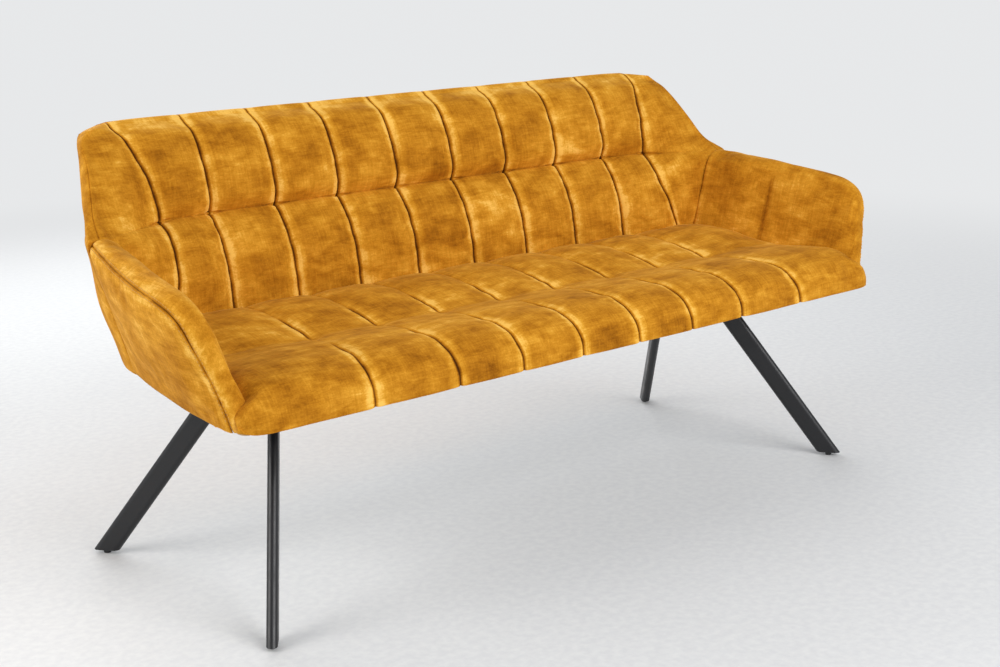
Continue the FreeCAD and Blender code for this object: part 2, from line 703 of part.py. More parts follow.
def set_shape(label, shape):
    piece = doc.addObject("Part::Feature", label)
    piece.Shape = shape
    piece.Placement = FreeCAD.Placement()
    return keep(piece, label)


def arms(board):
    """Arm pads over the arm frames and the outer covers sewn to them; gives the whole arms, not hollowed."""
    doc.recompute()
    whole = Part.makeLoft([arm_section(rise, setback)
                           for rise, setback in zip(ARM_RISE_SHARES, ARM_SETBACK_SHARES)], True, False)
    span = 2 * (size("board_front") + size("board_rear"))
    outside = Part.makeBox(2 * span, 2 * span, span, vector(-span, -span, size("arm_cover_depth")))
    outside.Placement = leaning_side_frame()
    inside = [shape_of("arm_frame_right"), shape_of("arm_batten_right")]
    cover = whole.common(outside)
    pad = whole.cut(outside).cut([board.Shape] + inside)
    middle = (vector(0, 0, 0), vector(1, 0, 0))
    for label, shape in (("arm_pad", pad), ("outer_arm_cover", cover)):
        set_shape(f"{label}_right", shape)
        set_shape(f"{label}_left", shape.mirror(*middle))
    return {"right": whole, "left": whole.mirror(*middle)}


def tuft_height():
    return size("base_height") + TUFT_RISE_SHARE * size("arm_rear_rise")


def rib_top():
    return size("back_height") - size("rib_top_drop")


def panel_front(z):
    slope = (size("rib_top_front") - size("rib_foot_front")) / (rib_top() - board_top())
    return size("rib_foot_front") - size("back_panel_thickness") + slope * (z - board_top())


def back_rear(z):
    """Outer face of the back at a height."""
    slope = size("rear_lean") / (rib_top() - board_top())
    return size("board_rear") + size("rear_gap") + slope * (z - board_top())


def flip(place):
    """The same place on the left-hand side."""
    return vector(-place.x, place.y, place.z)


def channel_width():
    """Width of one of the nine channels, which fill the back between its two corner panels."""
    return 2 * (board_side(size("arm_rear")) - size("corner_gap")) / (2 * SEAMS_EACH_SIDE + 1)


def inner_seams():
    """Distances of the seams on one side of the middle channel, up to the last but one of the back."""
    return [channel_width() * (2 * step + 1) / 2 for step in range(SEAMS_EACH_SIDE)]


def seam_row(outer_seam):
    """Distances of the ten back seams from the middle, left to right."""
    half = inner_seams() + [outer_seam]
    return [-place for place in reversed(half)] + half


def tangent_corner(rim, corner):
    """Arc from the rim to the rear face, which it meets without a crease."""
    across = rim.x - corner.x
    back = corner.y - rim.y
    radius = (across**2 + back**2) / (2 * back)
    centre = corner - vector(0, radius, 0)
    middle = (QUARTER_TURN + math.atan2(rim.y - centre.y, rim.x - centre.x)) / 2
    return Part.Arc(rim, centre + vector(math.cos(middle), math.sin(middle), 0) * radius, corner)


def reversed_arc(arc, mirror):
    """The same arc on the left-hand side, run the other way."""
    points = [mirror(arc.EndPoint), mirror(arc.value((arc.FirstParameter + arc.LastParameter) / 2))]
    return Part.Arc(*points, mirror(arc.StartPoint)).toShape()


def outer_line(z, rim_inner, rim_outer, roll, inset):
    """Outer face of the back at a level, right to left: corner arc, rear, corner arc; less an inset."""
    outward = (rim_outer - rim_inner).normalize()
    rim = rim_outer - outward * inset
    half_width = board_side(size("arm_rear")) - size("corner_inset")
    corner = vector(half_width, back_rear(z) - size("back_roll") * roll - inset, z)
    arc = tangent_corner(rim, corner)
    return rim, [arc.toShape(), line(corner, flip(corner)), reversed_arc(arc, flip)]


def pad_section(z, depth, crown, seam, forward, rim_inner, rim_outer, rim_roll, roll):
    """Level section of the back pad: scalloped front, rim ends, and the outer line less the cover."""
    front = panel_front(z) - size("back_pad_depth") * depth
    outer_seam = inner_seams()[-1] + channel_width() * seam
    bulge = vector(0, -size("channel_crown") * crown, 0)
    places = [vector(x, front, z) for x in seam_row(outer_seam)]
    for index in (0, -1):
        places[index].y -= size("corner_forward") * forward
    channels = [bulged(start, end, bulge) for start, end in zip(places, places[1:])]
    slack = bulge * CORNER_CROWN_SHARE
    edges = [bulged(flip(rim_inner), places[0], slack)] + channels + [bulged(places[-1], rim_inner, slack)]
    behind = size("cover_thickness") + size("sliding_clearance")
    rim, outer = outer_line(z, rim_inner, rim_outer, roll, behind)
    across = rim - rim_inner
    nose = vector(across.y, -across.x, 0) * rim_roll
    if rim_roll:
        ends = [bulged(rim_inner, rim, nose), bulged(flip(rim), flip(rim_inner), flip(nose))]
    else:
        ends = [line(rim_inner, rim), line(flip(rim), flip(rim_inner))]
    return Part.Wire(edges + ends[:1] + outer + ends[1:])


def cover_section(z, rim_inner, rim_outer, roll):
    """Level section of the outer back cover: a skin of one thickness round the rear and both corners."""
    rim, outer = outer_line(z, rim_inner, rim_outer, roll, 0)
    inner_rim, inner = outer_line(z, rim_inner, rim_outer, roll, size("cover_thickness"))
    ends = [line(flip(rim), flip(inner_rim)), line(inner_rim, rim)]
    return Part.Wire(outer + ends[:1] + list(reversed(inner)) + ends[1:])


def lower_rim(z):
    """Inner and outer ends of the back's section where it meets the arm."""
    rise = (z - size("base_height")) / size("arm_rear_rise")
    return [arm_point(rise, across, size("arm_rear")) for across in (-1, 1)]


def upper_rim(z, setback, draw_in, thickness):
    """Inner and outer ends of the back's section where its side runs up to the crest."""
    start = arm_point(TUFT_RISE_SHARE, 0, size("arm_rear"))
    middle = vector(start.x - size("rim_draw_in") * draw_in, start.y + size("rim_setback") * setback, z)
    turn = QUARTER_TURN * min(setback, RIM_TURN_SHARE)
    across = vector(math.cos(turn), math.sin(turn), 0) * size("rim_thickness") * thickness / 2
    return [middle - across, middle + across]


def rim_shares():
    return zip(RIM_SETBACK_SHARES, RIM_DRAW_IN_SHARES, RIM_THICKNESS_SHARES)


def lower_height(rise):
    return board_top() + rise * (tuft_height() - board_top())


def upper_height(rise):
    return tuft_height() + rise * (size("back_height") - tuft_height())


def back_pad(cover):
    """Quilted pad in two rows, one above the other, on the panel and round the ends of the back frame."""
    lower = []
    fronts = zip(LOWER_DEPTH_SHARES, LOWER_CROWN_SHARES, LOWER_SEAM_SHARES, LOWER_FORWARD_SHARES)
    for rise, front in zip(LOWER_RISE_SHARES, fronts):
        z = lower_height(rise)
        lower.append(pad_section(z, *front, *lower_rim(z), 0, 0))
    upper = []
    fronts = zip(UPPER_DEPTH_SHARES, UPPER_CROWN_SHARES, UPPER_SEAM_SHARES, UPPER_FORWARD_SHARES)
    rolls = zip(RIM_ROLL_SHARES, ROLL_SHARES)
    for rise, front, rim, roll in zip(UPPER_RISE_SHARES, fronts, rim_shares(), rolls):
        z = upper_height(rise)
        upper.append(pad_section(z, *front, *upper_rim(z, *rim), *roll))
    upper[0] = lower[-1]
    rows = Part.makeLoft(lower, True, False).fuse(Part.makeLoft(upper, True, False))
    return set_shape("back_pad", rows.cut([frame_space(), cover.Shape]))


def frame_space():
    """Space behind the pad for the panel, ribs and rails."""
    low = board_top() - size("overrun")
    high = rib_top() + size("top_rail_height") + size("sliding_clearance")
    rear = back_rear(high) + size("overrun")
    half = board_side(size("arm_rear")) - size("back_panel_inset") + size("sliding_clearance")
    corners = [(panel_front(low), low), (rear, low), (rear, high), (panel_front(high), high)]
    section = Part.makePolygon([vector(-half, y, z) for y, z in corners + corners[:1]])
    return Part.Face(section).extrude(vector(2 * half, 0, 0))


def outer_back_cover():
    lower = []
    for rise in LOWER_RISE_SHARES:
        z = lower_height(rise) if rise else size("base_height")
        lower.append(cover_section(z, *lower_rim(z), 0))
    upper = []
    for rise, rim, roll in zip(UPPER_RISE_SHARES, rim_shares(), ROLL_SHARES):
        z = upper_height(rise)
        upper.append(cover_section(z, *upper_rim(z, *rim), roll))
    upper[0] = lower[-1]
    skin = Part.makeLoft(lower, True, False).fuse(Part.makeLoft(upper, True, False))
    return set_shape("outer_back_cover", skin)


def seat_side(y, z):
    """Half width of the seat beside the arm's inner face."""
    depth = max(y, -size("arm_front"))
    along = (depth + size("arm_front")) / (size("arm_front") + size("arm_rear"))
    reach = size("arm_front_rise") * (1 - along) + size("arm_rear_rise") * along
    rise = max(z - size("base_height"), 0) / reach
    return arm_point(rise, -1, depth).x - size("soft_clearance")


def seat_section(top, root, crown, splay):
    """Section of the seat in a plane along the bench: nine crowned channels over a straight root line."""
    upward = (top - root).normalize() * size("seat_crown") * crown
    half = inner_seams()
    half[-1] += size("seat_seam_splay") * splay
    half.append(seat_side(top.y, top.z))
    places = [vector(-x, top.y, top.z) for x in reversed(half)] + [vector(x, top.y, top.z) for x in half]
    channels = [bulged(start, end, upward) for start, end in zip(places, places[1:])]
    foot = vector(seat_side(root.y, board_top()), root.y, root.z)
    sides = [line(places[-1], foot), line(foot, flip(foot)), line(flip(foot), places[0])]
    return Part.Wire(channels + sides)


def moved_copy(shape, x, y):
    copy = shape.copy()
    copy.translate(vector(x, y, 0))
    return copy


def board_space():
    """Space of the seat board, without its holes and rounded corners."""
    half = size("board_front_half_width")
    depth = size("board_front") + size("board_rear")
    low = size("base_height") - size("overrun")
    return Part.makeBox(2 * half, depth, board_top() - low, vector(-half, -size("board_front"), low))


def seat_cushion(pad, whole_arms):
    """Quilted seat in two rows with a sewn valley between them, rolled over the board's front edge."""
    sunk = board_top() - REAR_SINK_SHARE * size("board_thickness")
    length = size("seat_rear") + size("seat_valley")
    rear = []
    for reach, rise, crown in zip(REAR_REACH_SHARES, REAR_RISE_SHARES, REAR_CROWN_SHARES):
        y = size("seat_rear") - length * reach
        top = vector(0, y, board_top() + size("seat_rise") * rise)
        rear.append(seat_section(top, vector(0, y, sunk), crown, 0))
    length = size("seat_front") - size("seat_valley")
    front = []
    for reach, rise, crown, root_reach, sink in zip(FRONT_REACH_SHARES, FRONT_RISE_SHARES, FRONT_CROWN_SHARES,
                                                    FRONT_ROOT_SHARES, FRONT_SINK_SHARES):
        height = max(board_top() + size("seat_rise") * rise, size("base_height"))
        top = vector(0, -size("seat_valley") - length * reach, height)
        root_y = -size("seat_valley") - length * root_reach
        root = vector(0, root_y, board_top() - sink * size("board_thickness"))
        front.append(seat_section(top, root, crown, reach))
    front[0] = rear[-1]
    rows = Part.makeLoft(rear, True, False).fuse(Part.makeLoft(front, True, False))
    gap = size("soft_clearance")
    around = [board_space(), moved_copy(pad.Shape, 0, -gap)]
    for side, sign in SIDES.items():
        around += [moved_copy(whole_arms[side], -sign * gap, 0), shape_of(f"arm_batten_{side}")]
    set_shape("seat_cushion", rows.cut(around))


def check_document():
    for item in doc.Objects:
        if "Invalid" in item.State or "Error" in item.State:
            raise RuntimeError(f"{item.Name} failed: {item.State}")
    for node in nodes:
        if node.Shape.isNull() or not node.Shape.isValid():
            raise RuntimeError(f"{node.Label} has no valid shape")


def main():
    board = seat_board()
    dust_cover()
    for side, sign in SIDES.items():
        leg_plate(side, sign)
    leg_bolts()
    t_nuts()
    for side, sign in SIDES.items():
        for name, end in ENDS.items():
            leg(f"leg_{name}_{side}", sign, end)
            leg_plug(f"leg_plug_{name}_{side}", sign, end)
            glide(f"glide_{name}_{side}", sign, end)
        for name, share in (("inner", RIB_INNER_SHARE), ("outer", 1)):
            back_rib(f"back_rib_{name}_{side}", f"{sign} * {share} * ({BACK_SIDE} - Sizes.rib_inset)")
    back_rails()
    back_panel()
    arm_frames()
    arm_battens()
    whole_arms = arms(board)
    pad = back_pad(outer_back_cover())
    seat_cushion(pad, whole_arms)
    doc.recompute()
    check_document()
    os.makedirs("parts", exist_ok=True)
    for node in nodes:
        node.Shape.exportStep(f"parts/{node.Label}.step")


main()
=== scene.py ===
import math

import bmesh
import bpy
import numpy as np
from mathutils import Matrix, Vector


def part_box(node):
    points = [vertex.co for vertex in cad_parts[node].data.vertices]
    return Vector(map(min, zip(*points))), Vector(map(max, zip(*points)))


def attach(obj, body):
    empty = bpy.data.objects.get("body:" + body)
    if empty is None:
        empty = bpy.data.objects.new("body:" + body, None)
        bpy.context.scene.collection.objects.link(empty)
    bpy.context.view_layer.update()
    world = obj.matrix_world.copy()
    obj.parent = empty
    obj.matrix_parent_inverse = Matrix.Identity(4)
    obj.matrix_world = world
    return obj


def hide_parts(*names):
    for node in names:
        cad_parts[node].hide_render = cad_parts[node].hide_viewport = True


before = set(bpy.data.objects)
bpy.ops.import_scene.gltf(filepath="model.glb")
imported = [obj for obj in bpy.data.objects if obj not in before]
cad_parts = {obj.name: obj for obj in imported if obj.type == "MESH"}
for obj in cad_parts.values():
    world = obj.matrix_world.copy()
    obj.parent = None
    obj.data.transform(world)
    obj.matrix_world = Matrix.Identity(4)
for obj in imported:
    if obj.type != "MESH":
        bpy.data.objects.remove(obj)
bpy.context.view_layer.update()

# Sizes in metres, in the frame of the solids: X along the bench, Y to its back, Z up from the floor

SIDES = {"left": -1, "right": 1}
MIRROR = np.array([-1, 1, 1])
ACROSS = np.array([1, 0, 0])
QUARTER = math.pi / 2
# Distance to a seam or an edge where none is near, and where a column lies on a seam
FAR = 1.0
ON_SEAM = 0.0005
# Reach of the puckers beside a seam
PUCKER = 0.03
# Share of a channel's crown that it has before its cloth swells
PRESET = 0.8

# Seat board
BASE_HEIGHT = 0.397
BOARD_THICKNESS = 0.018
BOARD_TOP = BASE_HEIGHT + BOARD_THICKNESS
BOARD_FRONT = 0.332
BOARD_REAR = 0.290
BOARD_FRONT_HALF = 0.820
BOARD_REAR_HALF = 0.731

# Arms
ARM_FRONT = 0.318
ARM_REAR = 0.1146
ARM_FRONT_RISE = 0.211
ARM_MIDDLE_RISE = 0.235
ARM_REAR_RISE = 0.263
ARM_RADIUS = 0.031
ARM_INSET = 0.022
ARM_FLARE = 0.080
ARM_BOW = 0.013
ARM_WAIST = 0.05
ARM_SEAM_ANGLE = math.radians(48)
ARM_INNER_EDGE = 0.5 * ARM_RADIUS
SIDE_LEAN = math.atan2(ARM_FLARE, ARM_MIDDLE_RISE)
REAR_TURN = math.radians(20)
# Rim of an arm from its rear end along the top and down the front: depth and share of the rise
ARM_RIM = ((0.1146, 1.0), (0.06, 1.0), (0.0, 1.0), (-0.08, 1.0), (-0.15, 1.0), (-0.208, 0.993),
           (-0.241, 0.962), (-0.262, 0.905), (-0.276, 0.80), (-0.285, 0.66), (-0.295, 0.50),
           (-0.307, 0.25), (-0.316, 0.0))
ARM_RIM_ROOT = -0.255
ARM_ROOT_POWER = 1.15
# Half thickness of the nose on its inner and outer sides, by share of the rise
NOSE_RISE = (0, 0.25, 0.5, 0.8, 0.95, 1)
NOSE_INNER = (0.019, 0.021, 0.023, 0.027, 0.030, 0.031)
NOSE_OUTER = (0.031, 0.027, 0.025, 0.026, 0.029, 0.031)
NOSE_TURN = math.radians(-12)
NOSE_SQUARENESS = 0.68
# Columns of each flank, of the rim up to its seam and of the outer panel beyond it
FLANK_COLUMNS = 24
RIM_COLUMNS = 27
PANEL_SHARES = (0.03, 0.08, 0.15, 0.24, 0.36, 0.55, 0.77, 1)
ARM_PANEL_DEPTH = 0.008
# Depths of the arm's seam, its joint with the back, the hems and the dart in its inner face
ARM_SEAM_SINK = 0.0032
JOINT_SINK = 0.0005
JOINT_EXTRA_SINK = 0.002
JOINT_CLEARANCE = 0.0002
HEM_SINK = 0.0015
HEM_WIDTH = 0.006
DART_SINK = 0.004
DART_DEPTH = -0.060
DART_CLEARANCE = 0.025
# Stitches, and their rings as shares of length and radius
STITCH_OFFSET = 0.0065
STITCH_PITCH = 0.0072
STITCH_LENGTH = 0.0052
STITCH_RADIUS = 0.0007
STITCH_SIDES = 6
STITCH_RINGS = ((-0.5, 0.35), (-0.4, 0.8), (-0.15, 1.0), (0.15, 1.0), (0.4, 0.8), (0.5, 0.35))

# Back
BACK_HEIGHT = 0.836
TUFT_SHARE = 0.98
TUFT_HEIGHT = BASE_HEIGHT + TUFT_SHARE * ARM_REAR_RISE
RIB_HEIGHT = 0.350
PANEL_FOOT = 0.210
PANEL_SLOPE = 0.073 / RIB_HEIGHT
REAR_FOOT = 0.3087
REAR_SLOPE = 0.042 / RIB_HEIGHT
REAR_CLEARANCE = 0.006
PAD_DEPTH = 0.080
SEAMS_EACH_SIDE = 4
CHANNEL = 0.151
CHANNEL_COLUMNS = 16
CROWN = 0.018
CORNER_FORWARD = 0.032
CORNER_HALF = 0.589
CORNER_WIDTH = 0.1
CORNER_CROWN = 0.35
CORNER_COLUMNS = 14
RIM_SETBACK = 0.185
RIM_DRAW_IN = 0.097
BACK_ROLL = 0.024
# Side of the back above the arm
OUTER_REACH = 0.8454
OUTER_SLOPE = 0.487
OUTER_BULGE = 0.022
SIDE_DEPTH = 0.044
SIDE_ROUND = 0.014
EDGE_SHARE = 0.4
EDGE_SPREAD = 1.6
SIDE_SHARES = (0.1, 0.2, 0.28, 0.34, 0.37, 0.4, 0.43, 0.46, 0.52, 0.62, 0.75, 0.88, 1)
# Level sections of the back below and above its tufts, by share of their height: the depth and
# crown of its channels, then how far out and how far forward its corner seam lies
LOWER_RISE = (0, 0.26, 0.54, 0.77, 0.92, 1)
LOWER_LEVELS = ((0.75, 0.96, 0.99, 0.88, 0.66, 0.48), (0.8, 0.9, 1, 0.95, 0.7, 0.3),
                (1.2, 1.06, 0.87, 0.79, 0.77, 0.78), (1, 0.84, 1.1, 0.88, 0.88, 0.69))
UPPER_RISE = (0, 0.19, 0.41, 0.66, 0.83, 0.94, 1)
UPPER_LEVELS = ((0.48, 0.64, 0.62, 0.49, 0.31, 0.1, -0.1), (0.3, 0.9, 1, 0.9, 0.6, 0.3, 0.12),
                (0.78, 0.8, 0.84, 0.92, 0.98, 1.03, 1.05), (0.69, 0.34, 0.28, 0.1, 0.12, 0.16, 0.25))
SIDE_SETBACK = (0, 0.23, 0.39, 0.59, 0.76, 0.85, 0.88)
SIDE_DRAW_IN = (0.05, 0.17, 0.31, 0.465, 0.55, 0.67, 0.82)
REAR_ROLL = (0, 0, 0, 0, 0.1, 0.4, 1)
# Crest over the top of the back
CREST_SHARES = (0.12, 0.3, 0.5, 0.7, 0.88, 1.0)
CREST_START = 0.80
CREST_DOME = 0.008
CREST_TURN = 0.69
CREST_FLATTEN = 0.7
CREST_INSET = 0.003
CREST_SINK = 0.005
# Sewing of the back pad
BACK_INSET = 0.012
TUFT_HOLD = 0.9
SEAM_WIDTH = 0.0020
SEAM_SINK = 0.0042
SEAM_TUFT_SHARE = 0.3
SEAM_FADE = 0.7
EDGE_SINK = 0.0018
TUFT_LINE_SINK = 0.0012
TUFT_SINK = 0.0040
# Painted light on the back: darker all over, painted shade at its edges, tuft line and tufts, and a painted
# highlight on its crest
BACK_DARKENING = -0.12
EDGE_PAINTED_SHADE = 0.8
TUFT_LINE_PAINTED_SHADE = 0.45
TUFT_PAINTED_SHADE = 0.6
CREST_PAINTED_HIGHLIGHT = 0.7
# Painted shade in the dart of each arm's inner face
DART_PAINTED_SHADE = 1.2
# Painted highlight on the outer back panel beside its side edges, above the tufts
COVER_PAINTED_HIGHLIGHT = 0.5
# Outer back panel
COVER_THICKNESS = 0.007
COVER_EDGE = (0.994, 0.9985, 1)

# Seat
SEAT_REAR = 0.136
SEAT_FRONT = 0.348
SEAT_VALLEY = 0.105
SEAT_RISE = 0.073
SEAT_CROWN = 0.010
SEAT_SPLAY = 0.037
# Rear row from the back to the valley and front row over the front edge, by share of their depth
REAR_REACH = (0, 0.14, 0.36, 0.59, 0.81, 1)
REAR_HEIGHT = (0.84, 0.97, 1, 0.94, 0.83, 0.72)
REAR_CROWN = (0.6, 0.9, 1, 0.95, 0.5, 0.1)
FRONT_REACH = (0, 0.19, 0.41, 0.62, 0.78, 0.895, 0.97, 0.998, 1)
FRONT_HEIGHT = (0.72, 0.755, 0.80, 0.80, 0.69, 0.48, 0.18, -0.07, -0.25)
FRONT_CROWN = (0.0, 0.1, 0.38, 0.8, 0.95, 0.85, 0.55, 0.25, 0.1)
FRONT_ROOT = (0, 0.19, 0.41, 0.6, 0.72, 0.79, 0.835, 0.855, 0.866)
FRONT_SINK = (0.55, 0.55, 0.55, 0.55, 0.55, 0.6, 0.7, 0.85, 1)
UNDER_SHARES = (0.25, 0.6, 1.0)
UNDER_DROP = (0.0012, 0.0016, 0.0012)
UNDER_REACH = 0.022
# Sides of the seat along the arms and round its front corners
ARM_CLEARANCE = 0.001
CORNER_REACH = 0.829
CORNER_START = 0.765
CORNER_SETBACK = 0.020
SEAT_EDGE_SINK = 0.016
SEAT_EDGE_WIDTH = 0.030
SEAT_END_WIDTH = 0.22
SEAT_END_COLUMNS = 20
WALL_SHARES = (0.2, 0.45, 0.7, 1.0)
WALL_FRONT = -0.30
# Sewing of the seat: tufts are pairs of depth and width
SEAT_TIE = 0.65
SEAT_TIE_AHEAD = 0.035
SEWN_LEAST = 0.12
SEAT_SEAM_SINK = 0.0034
SEAT_TUFT_AHEAD = 0.005
SEAT_TUFTS = ((0.005, 0.018), (0.002, 0.045))
# Painted shade over the seat's front roll
FRONT_PAINTED_SHADE = 0.25

CLOTH_FRAMES = 20
CLOTH_SETTINGS = {"quality": 5, "mass": 0.25, "tension_stiffness": 25, "compression_stiffness": 25,
                  "shear_stiffness": 10, "bending_stiffness": 1.5, "air_damping": 4, "use_pressure": True,
                  "vertex_group_mass": "held", "pin_stiffness": 1}


# Curves and grids

def smooth(at, places, values):
    """Smooth curve through a table, with no overshoot between its entries."""
    x, y = np.asarray(places, float), np.asarray(values, float)
    step = np.diff(x)
    slope = np.diff(y) / step
    tangent = np.zeros_like(y)
    tangent[0], tangent[-1] = slope[0], slope[-1]
    for i in range(1, len(x) - 1):
        if slope[i - 1] * slope[i] > 0:
            before = 2 * step[i] + step[i - 1]
            after = step[i] + 2 * step[i - 1]
            tangent[i] = (before + after) / (before / slope[i - 1] + after / slope[i])
    at = np.clip(np.asarray(at, float), x[0], x[-1])
    i = np.clip(np.searchsorted(x, at, side="right") - 1, 0, len(x) - 2)
    t = (at - x[i]) / step[i]
    keep = 2 * t**3 - 3 * t**2 + 1
    lead = t**3 - 2 * t**2 + t
    follow = t**3 - t**2
    return (keep * y[i] + lead * step[i] * tangent[i]
            + (1 - keep) * y[i + 1] + follow * step[i] * tangent[i + 1])


def bell(distance, width):
    return np.exp(-(distance / width)**2)


def ramp(value, low, high):
    t = np.clip((value - low) / (high - low), 0, 1)
    return t * t * (3 - 2 * t)


def crowded(count):
    """Shares from 0 to 1, closer together at both ends."""
    return 0.5 - 0.5 * np.cos(np.linspace(0, math.pi, count + 1))


def crown_at(t, power, fullness):
    """Height of a channel across its width, as a share of its crown."""
    return (1 - abs(2 * t - 1)**power)**fullness


def lengths_along(line):
    return np.concatenate([[0], np.cumsum(np.linalg.norm(np.diff(line, axis=0), axis=1))])


def walk(line, stops):
    """Places along a line of points, at the stops that a function gives for its length."""
    lengths = lengths_along(line)
    at = stops(lengths[-1])
    return np.stack([np.interp(at, lengths, line[:, axis]) for axis in range(3)], axis=1)


def points_at(x, y, z):
    return np.stack(np.broadcast_arrays(x, y, z), axis=-1)


def unit(vectors):
    return vectors / np.maximum(np.linalg.norm(vectors, axis=-1, keepdims=True), 1e-9)


def normals_of(points):
    return unit(np.cross(np.gradient(points, axis=1), np.gradient(points, axis=0)))


def push(points, distance):
    return points + normals_of(points) * distance[:, :, None]


def wrinkles(points, height, scale, seed, octaves=2, waves=10):
    """Smooth repeatable unevenness from sums of waves in fixed directions."""
    random = np.random.default_rng(seed)
    total = np.zeros(points.shape[:-1])
    for octave in range(octaves):
        for _ in range(waves):
            direction = random.normal(size=3)
            pace = 2 * math.pi * scale * 2**octave * random.uniform(0.6, 1.4)
            direction *= pace / np.linalg.norm(direction)
            total += np.sin(points @ direction + random.uniform(0, 2 * math.pi)) / 2**octave
    return height * (total / waves)


def seam_painted_light(distance, bright, dark, away=0.008, width=0.008, line=0.0014):
    """Painted light by a seam: a painted highlight at a distance from it, painted shade in its line."""
    return bright * bell(distance - away, width) - dark * bell(distance, line)


def quads(ids):
    corners = [ids[:-1, :-1], ids[:-1, 1:], ids[1:, 1:], ids[1:, :-1]]
    return np.stack(corners, axis=-1).reshape(-1, 4).tolist()


def number_grid(points, start=0):
    rows, columns = points.shape[:2]
    return start + np.arange(rows * columns).reshape(rows, columns)


def make_object(name, points, faces):
    mesh = bpy.data.meshes.new(name)
    mesh.from_pydata(points.reshape(-1, 3).tolist(), [], faces)
    mesh.update()
    mesh.shade_smooth()
    piece = bpy.data.objects.new(name, mesh)
    bpy.context.scene.collection.objects.link(piece)
    return piece


def clothe(piece, material):
    piece.data.materials.clear()
    piece.data.materials.append(material)


def turn_outwards(piece):
    work = bmesh.new()
    work.from_mesh(piece.data)
    bmesh.ops.recalc_face_normals(work, faces=work.faces)
    work.to_mesh(piece.data)
    work.free()


def puff(name, points, held, pressure, slack, limit):
    """Let a grid of cloth swell between the points where it is held."""
    cloth_piece = make_object(name, points, quads(number_grid(points)))
    group = cloth_piece.vertex_groups.new(name="held")
    weights = np.round(np.clip(held, 0, 1).ravel(), 1)
    for level in np.unique(weights[weights > 0]):
        group.add(np.nonzero(weights == level)[0].tolist(), float(level), "REPLACE")
    modifier = cloth_piece.modifiers.new("Cloth", "CLOTH")
    for setting, value in CLOTH_SETTINGS.items():
        setattr(modifier.settings, setting, value)
    modifier.settings.uniform_pressure_force = pressure
    modifier.settings.shrink_min = -slack
    modifier.settings.effector_weights.gravity = 0
    modifier.collision_settings.use_collision = False
    modifier.collision_settings.use_self_collision = False
    modifier.point_cache.frame_start = 1
    modifier.point_cache.frame_end = CLOTH_FRAMES
    scene = bpy.context.scene
    for number in range(1, CLOTH_FRAMES + 1):
        scene.frame_set(number)
    result = cloth_piece.evaluated_get(bpy.context.evaluated_depsgraph_get())
    swollen = np.zeros(points.size, np.float32)
    result.data.vertices.foreach_get("co", swollen)
    scene.frame_set(1)
    bpy.data.objects.remove(cloth_piece)
    shift = swollen.reshape(points.shape).astype(float) - points
    length = np.linalg.norm(shift, axis=2, keepdims=True)
    return points + shift * np.minimum(1, limit / np.maximum(length, 1e-9))


def zip_faces(line, behind):
    """Triangles between two lines of points that share both their ends."""
    faces = []
    near, far = 0, 0
    while near < len(line) - 1 or far < len(behind) - 1:
        ahead = (near + 1) / (len(line) - 1) <= (far + 1) / (len(behind) - 1)
        if near < len(line) - 1 and (ahead or far == len(behind) - 1):
            corner = [line[near], line[near + 1], behind[far]]
            near += 1
        else:
            corner = [line[near], behind[far + 1], behind[far]]
            far += 1
        if len(set(corner)) == 3:
            faces.append(corner)
    return faces


def close_grid(name, front, rear):
    """Closed mesh from a front grid and a rear grid with the same rows."""
    rear = rear[:, 1:-1]
    near = number_grid(front)
    far = number_grid(rear, near.size)
    faces = quads(near) + quads(far[::-1])
    faces += quads(np.stack([near[:, 0], far[:, 0]]))
    faces += quads(np.stack([near[::-1, -1], far[::-1, -1]]))
    for row in (0, -1):
        line = near[row].tolist()
        faces += zip_faces(line, [line[0], *far[row].tolist(), line[-1]])
    piece = make_object(name, np.concatenate([front.reshape(-1, 3), rear.reshape(-1, 3)]), faces)
    turn_outwards(piece)
    return piece


def make_cushion(name, front, rear, material, bright, replaced):
    """Closed, smoothed cloth piece that carries its painted light and shade in an attribute."""
    piece = close_grid(name, front, rear)
    # Painted light and shade per point, read by the velvet's colour
    painted_light = np.zeros(len(piece.data.vertices), np.float32)
    painted_light[:bright.size] = bright.ravel()
    layer = piece.data.attributes.new("painted_light", "FLOAT", "POINT")
    layer.data.foreach_set("value", painted_light)
    subdivision = piece.modifiers.new("Subdivision", "SUBSURF")
    subdivision.levels = subdivision.render_levels = 1
    clothe(piece, material)
    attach(piece, "root")
    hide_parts(replaced)


# Materials

VELVET_COLOURS = ((0.19, (0.07, 0.020, 0.001)), (0.345, (0.23, 0.072, 0.002)), (0.43, (0.41, 0.150, 0.006)),
                  (0.50, (0.55, 0.224, 0.012)), (0.568, (0.70, 0.320, 0.026)), (0.645, (0.93, 0.53, 0.100)))
VELVET_SHEEN = {"Specular IOR Level": 0.08, "Sheen Weight": 0.26, "Sheen Roughness": 0.35,
                "Sheen Tint": (1.0, 0.62, 0.16, 1)}
# Stretch of the velvet's streaks and threads
STREAK_ALONG = 0.6
STREAK_ACROSS = 1.2
THREAD_ALONG = 0.10


def node(tree, kind, **values):
    item = tree.nodes.new(kind)
    for key, value in values.items():
        if hasattr(item, key):
            setattr(item, key, value)
        else:
            item.inputs[key.replace("_", " ")].default_value = value
    return item


def link(tree, start, socket, end, target):
    tree.links.new(start.outputs[socket], end.inputs[target])


def new_material(name):
    """New material, its tree, its shader and the node for the place on the object."""
    material = bpy.data.materials.new(name)
    material.use_nodes = True
    tree = material.node_tree
    return material, tree, tree.nodes["Principled BSDF"], node(tree, "ShaderNodeTexCoord")


